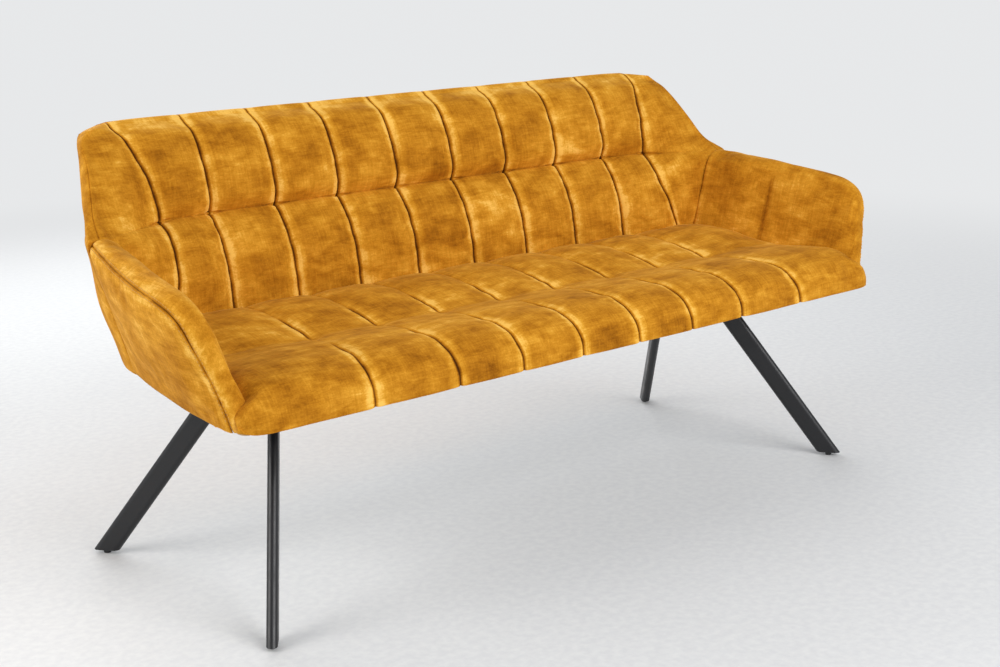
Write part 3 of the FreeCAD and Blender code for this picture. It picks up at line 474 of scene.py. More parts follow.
def noise(tree, place, stretch=(1, 1, 1), **values):
    """Noise by the place on the object, with a scale for each axis."""
    item = node(tree, "ShaderNodeTexNoise", **values)
    spread = node(tree, "ShaderNodeMapping", Scale=stretch)
    link(tree, place, "Object", spread, "Vector")
    link(tree, spread, "Vector", item, "Vector")
    return item


def blend(tree, first, second, share):
    """Mix of two nodes' values, with a share of the second."""
    item = node(tree, "ShaderNodeMix", data_type="FLOAT")
    item.inputs[0].default_value = share
    link(tree, first, 0, item, 2)
    link(tree, second, 0, item, 3)
    return item


def colour_by(tree, source, shader, stops):
    """Colour the shader by a node's value, through stops of position and colour."""
    item = node(tree, "ShaderNodeValToRGB")
    elements = item.color_ramp.elements
    for element, (position, colour) in zip(elements, (stops[0], stops[-1])):
        element.position = position
        element.color = (*colour, 1)
    for position, colour in stops[1:-1]:
        elements.new(position).color = (*colour, 1)
    link(tree, source, 0, item, "Fac")
    link(tree, item, "Color", shader, "Base Color")


def roughen(tree, source, shader, low, high):
    item = node(tree, "ShaderNodeMapRange", From_Min=0.3, From_Max=0.7, To_Min=low, To_Max=high)
    link(tree, source, 0, item, "Value")
    link(tree, item, "Result", shader, "Roughness")


def bump(tree, source, shader, strength, distance, below=None):
    item = node(tree, "ShaderNodeBump", Strength=strength, Distance=distance)
    link(tree, source, 0, item, "Height")
    if below:
        link(tree, below, "Normal", item, "Normal")
    link(tree, item, "Normal", shader, "Normal")
    return item


def velvet(name, along):
    """Short-pile velvet, woven and brushed along an axis, mottled, and coloured by painted light: painted
    highlights beside the seams and painted shade in them.
    """
    material, tree, shader, place = new_material(name)

    def run(lengthways, sideways):
        return [lengthways if axis == along else sideways for axis in range(3)]

    streaks = run(STREAK_ALONG, STREAK_ACROSS)
    clouds = noise(tree, place, Scale=11.0, Detail=5.0, Roughness=0.56, Distortion=0.3)
    brushed = noise(tree, place, streaks, Scale=30.0, Detail=5.0, Roughness=0.6, Distortion=0.4)
    pile = noise(tree, place, streaks, Scale=420.0, Detail=3.0, Roughness=0.65)
    weft, warp = (noise(tree, place, threads, Scale=260.0, Detail=2.0, Roughness=0.5)
                  for threads in (run(THREAD_ALONG, 1), run(1, THREAD_ALONG)))
    patches = blend(tree, clouds, brushed, share=0.48)
    woven = blend(tree, patches, blend(tree, weft, warp, share=0.5), share=0.24)
    grained = blend(tree, woven, pile, share=0.14)
    # Painted light and shade from the cushion's attribute, added to the mottle before it is coloured
    painted_light = node(tree, "ShaderNodeAttribute", attribute_name="painted_light")
    lifted = node(tree, "ShaderNodeMath", operation="MULTIPLY_ADD")
    link(tree, painted_light, "Fac", lifted, 0)
    lifted.inputs[1].default_value = 0.10
    link(tree, grained, 0, lifted, 2)
    colour_by(tree, lifted, shader, VELVET_COLOURS)
    fine = bump(tree, pile, shader, strength=0.2, distance=0.0006)
    bump(tree, brushed, shader, strength=0.25, distance=0.002, below=fine)
    roughen(tree, brushed, shader, low=0.92, high=0.72)
    for socket, value in VELVET_SHEEN.items():
        shader.inputs[socket].default_value = value
    return material


def speckled(name, dark, light, rough, scale, relief, metallic=0.0):
    """Plain finish with fine speckle in colour, roughness and bump."""
    material, tree, shader, place = new_material(name)
    speckle = noise(tree, place, Scale=scale, Detail=3.0, Roughness=0.55)
    clouds = noise(tree, place, Scale=scale / 40, Detail=3.0)
    colour_by(tree, speckle, shader, ((0.35, dark), (0.68, light)))
    roughen(tree, clouds, shader, *rough)
    bump(tree, speckle, shader, strength=0.3, distance=relief)
    shader.inputs["Metallic"].default_value = metallic
    return material


def wood(name, dark, light, stretch):
    """Bare wood with grain along the bench."""
    material, tree, shader, place = new_material(name)
    rings = noise(tree, place, stretch, Scale=30.0, Detail=6.0, Roughness=0.65, Distortion=0.8)
    colour_by(tree, rings, shader, ((0.35, dark), (0.65, light)))
    bump(tree, rings, shader, strength=0.25, distance=0.0006)
    shader.inputs["Roughness"].default_value = 0.6
    return material


cloth_along = velvet("velvet_lengthways", along=0)
cloth_arms = velvet("velvet_arms", along=1)
thread = speckled("stitch_thread", (0.42, 0.19, 0.02), (0.72, 0.38, 0.07), (0.5, 0.7), 1800, 0.0002)
steel = speckled("black_powder_coat", (0.006, 0.006, 0.007), (0.016, 0.016, 0.018), (0.3, 0.45), 1600, 0.0002)
zinc = speckled("zinc_plate", (0.42, 0.42, 0.4), (0.62, 0.62, 0.6), (0.28, 0.45), 900, 0.0002, metallic=1.0)
plastic = speckled("black_plastic", (0.012, 0.012, 0.012), (0.03, 0.03, 0.03), (0.5, 0.68), 1400, 0.0003)
underside = speckled("black_lining", (0.008, 0.008, 0.008), (0.03, 0.03, 0.03), (0.8, 0.95), 1100, 0.0006)
plywood = wood("birch_plywood", (0.40, 0.25, 0.12), (0.62, 0.44, 0.25), (0.25, 3.0, 3.0))
timber = wood("sawn_timber", (0.36, 0.21, 0.09), (0.58, 0.38, 0.19), (0.2, 3.0, 3.0))


# Shape of the arms

def board_side(y):
    along = (y + BOARD_FRONT) / (BOARD_FRONT + BOARD_REAR)
    return BOARD_FRONT_HALF * (1 - along) + BOARD_REAR_HALF * along


def arm_reach(y):
    """Share of the arm's depth at a place, and the arm's rise there."""
    along = (y + ARM_FRONT) / (ARM_FRONT + ARM_REAR)
    return along, ARM_FRONT_RISE * (1 - along) + ARM_REAR_RISE * along


def arm_middle(y, rise):
    """Point of the right arm's middle surface."""
    along, reach = arm_reach(y)
    bow = ARM_BOW * (1 - (2 * np.clip(along, 0, 1) - 1)**2)
    x = board_side(y) - ARM_INSET + ARM_FLARE * rise + bow
    return points_at(x, y, BASE_HEIGHT + rise * reach)


def rim_curve(shares):
    """Rim of the arm in depth and rise, at shares of its length from the rear end to the front foot."""
    table = np.array(ARM_RIM)
    lengths = lengths_along(table * np.array([1, ARM_MIDDLE_RISE]))
    lengths /= lengths[-1]
    return smooth(shares, lengths, table[:, 0]), smooth(shares, lengths, table[:, 1])


def rim_front(rise):
    """Depth of the arm's front edge at a share of the rise."""
    table = np.array([entry for entry in ARM_RIM if entry[1] < 1][::-1])
    return smooth(rise, table[:, 1], table[:, 0])


def arm_waist(rise):
    return 1 - ARM_WAIST * ramp(1 - rise, low=0.2, high=0.55)


def half_thickness(y, rise, nose_table):
    """Half thickness of the arm on its inner or outer side, which thins towards the nose."""
    nose = smooth(rise, NOSE_RISE, nose_table)
    return nose + (ARM_RADIUS * arm_waist(rise) - nose) * ramp(y - rim_front(rise), low=0.005, high=0.10)


def sideways(rise):
    """Direction across the arm: square to its face at the rim, level at its foot."""
    square = ramp(rise, low=0, high=0.35)
    across = math.cos(SIDE_LEAN) * square + (1 - square) / math.cos(SIDE_LEAN)
    return points_at(across, 0, -math.sin(SIDE_LEAN) * square)


def arm_grid(shares):
    """Grid of the right arm: rows along the rim, columns across it from foot to foot."""
    y_rim, rise_rim = rim_curve(shares)
    y_root = ARM_REAR + (ARM_RIM_ROOT - ARM_REAR) * shares**ARM_ROOT_POWER
    length = np.linalg.norm(arm_middle(y_rim, rise_rim) - arm_middle(y_root, 0 * y_root), axis=1)
    inner, outer = (half_thickness(y_rim, rise_rim, table) for table in (NOSE_INNER, NOSE_OUTER))
    radius = (inner + outer) / 2
    nose = ramp(1 - rise_rim, low=0.01, high=0.3)
    turn = NOSE_TURN * nose + REAR_TURN * ramp(y_rim, low=-0.06, high=ARM_REAR)
    square = 1 - (1 - NOSE_SQUARENESS) * nose

    def below_at(angle):
        lead = np.cos(angle - turn)
        return radius * (1 - np.sign(lead) * np.abs(lead)**square)

    def place(below, half_at):
        part = below / length
        y = y_rim + (y_root - y_rim) * part
        rise = rise_rim * (1 - part)
        return arm_middle(y, rise) + sideways(rise) * half_at(y, rise)[:, None]

    def flank(sign, table):
        start = below_at(sign * QUARTER)
        return [place(start + (length - start) * share, lambda y, rise: sign * half_thickness(y, rise, table))
                for share in np.linspace(1, 0, FLANK_COLUMNS + 1)[:-1]]

    def over_rim(angle):
        wave = math.sin(angle)
        half = (outer - inner) / 2 + radius * np.sign(wave) * abs(wave)**square
        return place(below_at(angle), lambda y, rise: half)

    angles = np.concatenate([np.linspace(-QUARTER, ARM_SEAM_ANGLE, RIM_COLUMNS),
                             ARM_SEAM_ANGLE + (QUARTER - ARM_SEAM_ANGLE) * np.array(PANEL_SHARES)])
    columns = flank(-1, NOSE_INNER) + [over_rim(angle) for angle in angles] + flank(1, NOSE_OUTER)[::-1]
    away = np.full(FLANK_COLUMNS, FAR)
    seam = np.concatenate([-away, ARM_RADIUS * (angles - ARM_SEAM_ANGLE), away])
    return np.stack(columns, axis=1), seam, FLANK_COLUMNS + RIM_COLUMNS


def dart_share(grid, seam, width):
    """Share of the short dart sewn into the arm's inner face."""
    level = (grid[:, :, 2] - BASE_HEIGHT) / ARM_FRONT_RISE
    share = bell(grid[:, :, 1] - DART_DEPTH, width) * ramp(level, low=0.22, high=0.42)
    return share * (1 - ramp(level, low=0.9, high=1.12)) * (seam < -DART_CLEARANCE)


def arm_detail(grid, seam):
    """Sink the arm's seams, ease its hem and wrinkle it a little."""
    inside = seam < ARM_INNER_EDGE
    groove = (ARM_SEAM_SINK * bell(seam, width=0.0032)
              + (JOINT_SINK + JOINT_EXTRA_SINK * inside) * bell(ARM_REAR - grid[:, :, 1], width=0.004))
    hem = HEM_SINK * bell(grid[:, :, 2] - BASE_HEIGHT, HEM_WIDTH)
    dart = DART_SINK * dart_share(grid, seam, width=0.010)
    ripple = wrinkles(grid, height=0.0008, scale=26, seed=5) * bell(seam, PUCKER)
    slack = wrinkles(grid, height=0.0014, scale=7, seed=9)
    return push(grid, -(slack + ripple - groove - hem - dart))


# Shape of the back

def arm_end(z):
    """Inner end, middle and outer end of the back's level section where it meets the arm."""
    rise = (z - BASE_HEIGHT) / ARM_REAR_RISE
    middle = arm_middle(np.full_like(z, ARM_REAR), rise)
    spread = np.arccos(np.clip(1 - (1 - rise) * ARM_REAR_RISE / ARM_RADIUS, -1, 1))
    width = ARM_RADIUS * arm_waist(rise) / math.cos(SIDE_LEAN)
    inner = middle + ACROSS * (width * np.sin(np.maximum(REAR_TURN - spread, -QUARTER)))[:, None]
    outer = middle + ACROSS * (width * np.sin(np.minimum(REAR_TURN + spread, QUARTER)))[:, None]
    return inner, (inner + outer) / 2, outer


def rear_at(z):
    return REAR_FOOT + REAR_SLOPE * (z - BOARD_TOP)


def front_rows(z, rises, places, levels):
    """What the back's level sections have in front and behind."""
    depth, crown, seam, forward = (smooth(rises, places, table) for table in levels)
    front = PANEL_FOOT + PANEL_SLOPE * (z - BOARD_TOP) - PAD_DEPTH * depth
    return {"z": z, "front": front, "crown": crown, "seam": seam, "forward": forward, "rear": rear_at(z)}


def lower_rows(rises):
    z = BOARD_TOP + rises * (TUFT_HEIGHT - BOARD_TOP)
    rows = front_rows(z, rises, LOWER_RISE, LOWER_LEVELS)
    rows["inner"], rows["edge"], rows["outer"] = arm_end(z)
    return rows


def upper_rows(rises):
    z = TUFT_HEIGHT + rises * (BACK_HEIGHT - TUFT_HEIGHT)
    rows = front_rows(z, rises, UPPER_RISE, UPPER_LEVELS)
    setback, draw_in, roll = (smooth(rises, UPPER_RISE, table)
                              for table in (SIDE_SETBACK, SIDE_DRAW_IN, REAR_ROLL))
    rows["rear"] = rows["rear"] - BACK_ROLL * roll
    inner, start, outer = (end[0] for end in arm_end(z[:1]))
    edge = points_at(start[0] - RIM_DRAW_IN * draw_in, start[1] + RIM_SETBACK * setback, z)
    half = (outer[0] - inner[0]) / 2
    panel = unit((edge - points_at(CHANNEL * SEAMS_EACH_SIDE, rows["front"], z))[:, :2])
    fold = ramp(rises, low=0, high=0.24)
    panel = panel * fold[:, None] + ACROSS[:2] * (1 - fold)[:, None]
    depth = SIDE_DEPTH * ramp(rises, low=0, high=0.3)
    depth = np.minimum(depth, rows["rear"] - edge[:, 1] - REAR_CLEARANCE)
    outer_x = OUTER_REACH - OUTER_SLOPE * (edge[:, 1] + depth - ARM_REAR)
    outer_x = outer[0] + (outer_x - outer[0]) * ramp(rises, low=0, high=0.1)
    outer_x = np.minimum(outer_x, edge[:, 0] + OUTER_BULGE * (1 - fold))
    rows["edge"] = edge
    rows["inner"] = edge.copy()
    rows["inner"][:, :2] -= panel * (half + (SIDE_ROUND - half) * fold)[:, None]
    rows["outer"] = points_at(outer_x, edge[:, 1] + depth, z)
    return rows


def side_line(rows):
    """Points round the side of each level section, from the corner panel to the outer back."""
    t = EDGE_SHARE
    inner, edge, outer = rows["inner"], rows["edge"], rows["outer"]
    pull = (edge - inner * (1 - t)**2 - outer * t**2) / (2 * t * (1 - t))
    return [inner * (1 - at)**2 + pull * 2 * at * (1 - at) + outer * at**2 for at in SIDE_SHARES]


def seam_places():
    """Places of the straight seams on the right half."""
    return [CHANNEL * (2 * step + 1) / 2 for step in range(SEAMS_EACH_SIDE)]


def back_grid(rows):
    """Front of the back from left to right: points, crown shape, seam and edge distances."""
    seams = [points_at(x, rows["front"], rows["z"]) for x in seam_places()]
    seams.append(points_at(seam_places()[-1] + CHANNEL * rows["seam"],
                           rows["front"] - CORNER_FORWARD * rows["forward"], rows["z"]))
    across = [line * MIRROR for line in reversed(seams)] + seams
    columns, crown, seam = [], [], []
    for index, (start, end) in enumerate(zip(across, across[1:])):
        shares = crowded(CHANNEL_COLUMNS)
        for t in shares if index == len(across) - 2 else shares[:-1]:
            columns.append(start + (end - start) * t)
            crown.append(crown_at(t, power=2.4, fullness=0.75))
            seam.append(min(t, 1 - t) * CHANNEL)
    corner = crowded(CORNER_COLUMNS)[1:]
    plain = len(SIDE_SHARES)
    right = [across[-1] + (rows["inner"] - across[-1]) * t for t in corner] + side_line(rows)
    right_crown = [CORNER_CROWN * crown_at(t, power=2, fullness=1) for t in corner] + [0] * plain
    right_seam = [t * CORNER_WIDTH for t in corner] + [FAR] * plain
    right_edge = [abs(share - EDGE_SHARE) * SIDE_DEPTH * EDGE_SPREAD for share in SIDE_SHARES]
    edge = right_edge[::-1] + [FAR] * (len(columns) + 2 * len(corner)) + right_edge
    columns = [line * MIRROR for line in reversed(right)] + columns + right
    crown = right_crown[::-1] + crown + right_crown
    seam = right_seam[::-1] + seam + right_seam
    return np.stack(columns, axis=1), np.array(crown), np.array(seam), np.array(edge)


def rear_line(rows, shares, inset):
    """Outer face of the back at each level, left to right, drawn in by an inset."""
    rim = rows["outer"] - unit(rows["outer"] - rows["inner"]) * inset
    z = rows["z"]
    y = rows["rear"] - inset
    across = rim[:, 0] - CORNER_HALF
    back = y - rim[:, 1]
    radius = (across**2 + back**2) / (2 * back)
    end = np.arctan2(rim[:, 1] - (y - radius), across)
    flat, at_tufts, at_waist, waist = 0.15, 0.12, 0.2, 0.52
    flat = flat + at_tufts * bell(z - TUFT_HEIGHT, width=0.08) - at_waist * bell(z - waist, width=0.06)
    points = []
    for share in shares:
        if abs(share) <= 0.5:
            points.append(points_at(2 * share * CORNER_HALF, y, z))
        else:
            t = 2 * abs(share) - 1
            angle = QUARTER + (end - QUARTER) * t
            x = CORNER_HALF + radius * np.cos(angle) * (1 - flat) + across * t * flat
            depth = (y - radius + radius * np.sin(angle)) * (1 - flat) + (y - back * t) * flat
            points.append(points_at(math.copysign(1, share) * x, depth, z))
    return np.stack(points, axis=1)


def drop_crest(points, z):
    """Lower the top of the back by the height of the dome that goes on it."""
    points[:, :, 2] -= CREST_DOME * ramp(z, CREST_START, BACK_HEIGHT)[:, None]


def drop_ends(points, start=0.722, skew=0.7, depth=0.285, curve=7.5, most=0.036, level=0.74):
    """Let the top of the back fall away towards its two ends."""
    beyond = np.abs(points[..., 0]) + skew * (points[..., 1] - depth)
    fall = np.minimum(curve * np.maximum(beyond - start, 0)**2, most)
    points[..., 2] -= fall * ramp(points[..., 2], level, BACK_HEIGHT)


def crest_rows(row, rear, shares, dome_share=0.3, fade=0.8):
    """Rows over the top of the back, domed from its front edge to its rear edge."""
    lengths = lengths_along(row)
    last = int(np.argmax(row[:, 0] >= CREST_TURN))
    beyond = np.abs(lengths - lengths[-1] / 2) - (lengths[last] - lengths[-1] / 2)
    beyond = np.clip(beyond / (lengths[-1] - lengths[last]), 0, 1)
    turned = CREST_TURN + (rear[-1, 0] - CREST_TURN) * beyond
    x = np.where(beyond > 0, turned, np.abs(row[:, 0])) * np.sign(row[:, 0])
    behind = points_at(x, np.interp(x, rear[:, 0], rear[:, 1]), rear[0, 2])
    dome = np.minimum(CREST_DOME, dome_share * np.linalg.norm(behind - row, axis=1))
    dome = dome * (1 - fade * ramp(np.abs(row[:, 0]), low=0.64, high=0.745))
    over = np.stack([row + (behind - row) * share for share in shares])
    over[:, :, 2] += dome * (1 - (2 * shares - 1)**2)[:, None]
    return over


# Back pad and outer back

def back_face(rows, crest):
    """Flat back with its crest: points, stuffing, heights, seam and edge distances."""
    grid, crown, seam, edge = back_grid(rows)
    drop_crest(grid, rows["z"])
    top = {key: value[-1:] for key, value in rows.items()}
    rear_top = rear_line(top, np.linspace(-1, 1, 161), CREST_INSET)[0]
    rear_top[:, 2] -= CREST_DOME
    grid = np.concatenate([grid, crest_rows(grid[-1], rear_top, crest)])
    drop_ends(grid)
    crown_rows = np.concatenate([rows["crown"], rows["crown"][-1] * (1 - CREST_FLATTEN * crest)])
    z = np.concatenate([rows["z"], np.full(len(crest), BACK_HEIGHT)])
    return grid, CROWN * crown_rows[:, None] * crown, z, seam, edge


def build_back(rows):
    """Quilted back, sewn at its seams, edges and tufts and stuffed between them."""
    crest = np.array(CREST_SHARES)
    grid, stuffing, z, seam, edge = back_face(rows, crest)
    tuft = np.abs(z - TUFT_HEIGHT)
    start = push(grid, PRESET * stuffing)
    held = np.zeros(stuffing.shape)
    held[:, (seam < ON_SEAM) | (edge < FAR)] = 1
    held[:5] = held[-len(crest) - 1:] = 1
    held[np.argmin(tuft)] = TUFT_HOLD
    puffed = puff("back_cloth", start, held, pressure=1.2, slack=0.008, limit=0.022)
    depth = SEAM_SINK * (1 - SEAM_TUFT_SHARE + SEAM_TUFT_SHARE * bell(tuft, width=0.03))
    depth = depth * (1 - SEAM_FADE * ramp(z, low=0.78, high=0.835))
    edging = (1 - ramp(z, low=0.765, high=0.81))[:, None] * bell(edge, width=0.0022)
    groove = depth[:, None] * bell(seam, SEAM_WIDTH) + EDGE_SINK * edging
    middle = 1 - ramp(np.abs(grid[:, :, 0]), low=0.66, high=0.74)
    tuft_sink = TUFT_LINE_SINK + TUFT_SINK * bell(seam, width=0.018)
    tufting = bell(tuft, width=0.0026)[:, None] * tuft_sink * middle
    uneven = wrinkles(grid * np.array([0.6, 1.0, 1.6]), height=0.0011, scale=20, seed=3)
    uneven = uneven * (0.35 + bell(seam, PUCKER)) * (edge == FAR)
    finished = push(puffed, uneven - groove - tufting)
    rear = rear_line(rows, np.linspace(-1, 1, 17), BACK_INSET)
    rear[-1, :, 2] = BACK_HEIGHT - 2 * CREST_DOME
    rear = np.concatenate([rear, np.repeat(rear[-1:], len(crest), axis=0)])
    drop_ends(rear)
    # Painted light on the back: painted highlights beside the seams, painted shade in the seams and along the
    # side edges
    bright = (seam_painted_light(seam, bright=1.25, dark=4.0) + BACK_DARKENING) - EDGE_PAINTED_SHADE * edging
    # Painted shade along the tuft line, deeper at each tuft
    tuft_painted_shade = TUFT_LINE_PAINTED_SHADE + TUFT_PAINTED_SHADE * bell(seam, width=0.02)
    bright = bright - tuft_painted_shade * bell(tuft, width=0.002)[:, None] * middle
    # Painted highlight along the top of the crest
    bright = bright + CREST_PAINTED_HIGHLIGHT * ramp(z, low=0.81, high=0.835)[:, None]
    make_cushion("back_quilt", finished, rear, cloth_along, bright, "back_pad")


def build_outer_back(rows):
    """Outer back panel: a stretched cover round the rear and both corners."""
    edge = np.array(COVER_EDGE)
    shares = np.concatenate([-edge[::-1], np.linspace(-0.985, 0.985, 119), edge])
    to_edge = np.abs(shares) - 1
    low = {key: value[:1] for key, value in rows.items()}
    low["z"] = np.array([BASE_HEIGHT])
    low["inner"], low["edge"], low["outer"] = arm_end(low["z"])
    low["rear"] = rear_at(low["z"])
    pick = np.arange(0, len(rows["z"]), 2)
    pick[-1] = len(rows["z"]) - 1
    rows = {key: np.concatenate([low[key], value[pick]]) for key, value in rows.items()}
    z = rows["z"]
    outside = rear_line(rows, shares, inset=0.0)
    loose = wrinkles(outside, height=0.0012, scale=5, seed=21) * (1 - bell(to_edge, width=0.05))
    hem = HEM_SINK * bell(z - BASE_HEIGHT, HEM_WIDTH) + CREST_SINK * bell(z - BACK_HEIGHT, width=0.010)
    raised = ramp(z, low=TUFT_HEIGHT - 0.02, high=TUFT_HEIGHT + 0.03)
    side = (JOINT_SINK + JOINT_EXTRA_SINK * raised)[:, None] * bell(to_edge, width=0.006)
    outside = push(outside, -(loose - hem[:, None] - side))
    drop_crest(outside, z)
    drop_ends(outside)
    inside = rear_line(rows, shares, COVER_THICKNESS)
    inside[:, :, 2] = outside[:, :, 2]
    inside[:, [0, -1]] = outside[:, [0, -1]]
    # Painted highlight beside the panel's side edges, above the tufts
    bright = COVER_PAINTED_HIGHLIGHT * raised[:, None] * bell(to_edge, width=0.02)
    make_cushion("outer_back_panel", outside, inside, cloth_along, bright, "outer_back_cover")


# Arm pads, outer arm panels and their stitches

def stitch_mesh(centres, directions, normals):
    """Short rounded stitches, each lying along its direction on the surface."""
    along, wide = (np.array(values)[:, None, None] for values in zip(*STITCH_RINGS))
    angle = 2 * math.pi * np.arange(STITCH_SIDES)[:, None] / STITCH_SIDES
    centres, directions, normals = (values[:, None, None] for values in (centres, directions, normals))
    offset = np.cross(normals, directions) * np.cos(angle) + normals * np.sin(angle)
    points = centres + directions * STITCH_LENGTH * along + offset * STITCH_RADIUS * wide
    faces = []
    for ids in np.arange(points[..., 0].size).reshape(points.shape[:3]):
        faces += quads(np.concatenate([ids, ids[:, :1]], axis=1))
        faces += [ids[0, ::-1].tolist(), ids[-1].tolist()]
    return points, faces


def arm_stitches(side, finished, seam):
    """Double row of stitches beside the seam between the inner pad and the outer panel."""
    flip = np.array([SIDES[side], 1, 1])
    normal = -normals_of(finished)
    rows = []
    for offset in (-STITCH_OFFSET, STITCH_OFFSET):
        column = int(np.argmin(np.abs(seam - offset)))
        centres = walk(finished[2:-2, column],
                       lambda length: np.arange(STITCH_PITCH, length - STITCH_PITCH, STITCH_PITCH))
        turning = walk(np.cumsum(normal[2:-2, column], axis=0),
                       lambda length: np.linspace(0, 1, len(centres)) * length)
        directions, facing = (unit(np.gradient(line, axis=0)) for line in (centres, turning))
        rows.append([centres * flip, directions * flip, facing * flip])
    points, faces = stitch_mesh(*(np.concatenate(parts) for parts in zip(*rows)))
    stitches = make_object(f"arm_stitching_{side}", points, faces)
    turn_outwards(stitches)
    clothe(stitches, thread)
    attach(stitches, "root")


def build_arms():
    """Both arms: an inner pad with the rim, an outer panel and the stitches between them."""
    rear_end = 0.012
    shares = np.concatenate([np.linspace(0, rear_end, 4)[:-1], np.linspace(rear_end, 1, 84)])
    grid, seam, split = arm_grid(shares)
    held = np.zeros(grid.shape[:2])
    held[:3] = held[-3:] = 1
    held[:, :8] = held[:, -6:] = 1
    held[:, split - 1] = 1
    swollen = puff("arm_cloth", grid[:, ::-1], held[:, ::-1], pressure=0.5, slack=0.004, limit=0.012)
    finished = arm_detail(swollen[:, ::-1], seam)
    finished[:, :, 1] = np.minimum(finished[:, :, 1], ARM_REAR - JOINT_CLEARANCE)
    # Painted light on the arms: painted highlights beside the rim seam and, on the inner side, the joint with
    # the back, painted shade in their lines
    bright = seam_painted_light(np.abs(seam), bright=0.8, dark=1.2, away=0.012, width=0.010, line=0.003)
    joint = seam_painted_light(ARM_REAR - grid[:, :, 1], bright=0.5, dark=1.2, away=0.010, line=0.003)
    bright = bright + (seam < ARM_INNER_EDGE) * joint
    # Painted shade in the dart
    bright = bright - DART_PAINTED_SHADE * dart_share(grid, seam, width=0.005)
    backing = np.linspace(0, 1, 9)
    for side, sign in SIDES.items():
        sided = finished * np.array([sign, 1, 1])
        part = sided[:, :split]
        behind = part[:, :1] + (part[:, -1:] - part[:, :1]) * backing[:, None]
        make_cushion(f"arm_pad_{side}", part, behind,
                     cloth_arms, bright[:, :split], f"arm_pad_{side}")
        part = sided[:, split - 1:]
        picks = np.round(backing * (part.shape[1] - 1)).astype(int)
        inward = -ARM_PANEL_DEPTH * sign * np.sin(math.pi * backing)
        make_cushion(f"outer_arm_panel_{side}", part, part[:, picks] + inward[:, None] * ACROSS,
                     cloth_arms, bright[:, split - 1:], f"outer_arm_cover_{side}")
        arm_stitches(side, finished, seam)


# Seat

def seat_side(y, z):
    """Half width of the seat: up to the arm's inner face, and round the nose in front of it."""
    depth = np.maximum(y, -ARM_FRONT)
    rise = np.clip((z - BASE_HEIGHT) / arm_reach(depth)[1], 0, 1)
    thickness = half_thickness(depth, rise, NOSE_INNER) / math.cos(SIDE_LEAN)
    inside = arm_middle(depth, rise)[:, 0] - thickness - ARM_CLEARANCE
    return inside + (CORNER_REACH - inside) * ramp(rim_front(rise) - y, low=0.002, high=0.030)


def seat_profile():
    """Line of the seat from the back over and under its front edge."""
    at = np.linspace(0, 1, 34)
    rear = {"y": SEAT_REAR - (SEAT_REAR + SEAT_VALLEY) * at,
            "z": BOARD_TOP + SEAT_RISE * smooth(at, REAR_REACH, REAR_HEIGHT),
            "crown": smooth(at, REAR_REACH, REAR_CROWN), "splay": 0 * at,
            "root_z": np.full(len(at), BOARD_TOP - FRONT_SINK[0] * BOARD_THICKNESS)}
    rear["root_y"] = rear["y"]
    station = np.arange(len(FRONT_REACH))
    at = np.linspace(0, station[-1], 62)[1:]
    reach, height, crown, root, sink = (smooth(at, station, table) for table in (
        FRONT_REACH, FRONT_HEIGHT, FRONT_CROWN, FRONT_ROOT, FRONT_SINK))
    length = SEAT_FRONT - SEAT_VALLEY
    front = {"y": -SEAT_VALLEY - length * reach, "z": np.maximum(BOARD_TOP + SEAT_RISE * height, BASE_HEIGHT),
             "crown": crown, "splay": reach, "root_y": -SEAT_VALLEY - length * root,
             "root_z": BOARD_TOP - sink * BOARD_THICKNESS}
    top = {key: np.concatenate([rear[key], front[key]]) for key in rear}
    z = top["z"]
    soft = bell(top["y"] + SEAT_VALLEY, width=0.05)[1:-1]
    for _ in range(60):
        z[1:-1] += 0.5 * soft * ((z[:-2] + z[2:]) / 2 - z[1:-1])
    share = np.array(UNDER_SHARES)
    ones = np.ones(len(share))
    under = {"y": top["y"][-1] + UNDER_REACH * share, "z": BASE_HEIGHT - np.array(UNDER_DROP),
             "crown": top["crown"][-1] * (1 - share), "splay": ones,
             "root_y": top["root_y"][-1] * ones, "root_z": top["root_z"][-1] * ones}
    return {key: np.concatenate([top[key], under[key]]) for key in top}


def seat_face(line):
    """Flat seat: points, crown shape, seam distances and half widths."""
    y, z = line["y"], line["z"]
    seams = [np.full_like(y, x) for x in seam_places()]
    seams[-1] = seams[-1] + SEAT_SPLAY * line["splay"]
    half = seat_side(y, z)
    edges = [-x for x in reversed([*seams, half])] + [*seams, half]
    last = len(edges) - 2
    columns, shape, seam = [], [], []
    for index in range(last + 1):
        end = index in (0, last)
        shares = crowded(SEAT_END_COLUMNS if end else CHANNEL_COLUMNS)
        for t in shares if index == last else shares[:-1]:
            columns.append(points_at(edges[index] + (edges[index + 1] - edges[index]) * t, y, z))
            shape.append(crown_at(t, power=2.2, fullness=0.85))
            near_seam = (1 - t if index == 0 else t) if end else min(t, 1 - t)
            seam.append(near_seam * (SEAT_END_WIDTH if end else CHANNEL))
    grid = np.stack(columns, axis=1)
    corner = np.clip((np.abs(grid[:, :, 0]) - CORNER_START) / (CORNER_REACH - CORNER_START), 0, 1)
    grid[:, :, 1] += CORNER_SETBACK * corner**2 * ramp(-y, low=0.28, high=0.33)[:, None]
    return grid, np.array(shape), np.array(seam), half


def seat_hold(y, seam):
    """How firmly the seat's cloth is held at each point: at its seams, edges and tufts."""
    held = np.zeros((len(y), len(seam)))
    strong = np.clip(bell(y - 0.02, width=0.10) + ramp(-y, low=0.20, high=0.26), 0, 1)
    held[:, seam < ON_SEAM] = strong[:, None]
    held[:2] = held[-6:] = 1
    held[:, :3] = held[:, -3:] = 1
    held[np.argmin(np.abs(y + SEAT_VALLEY)), seam < ON_SEAM] = 1
    return held


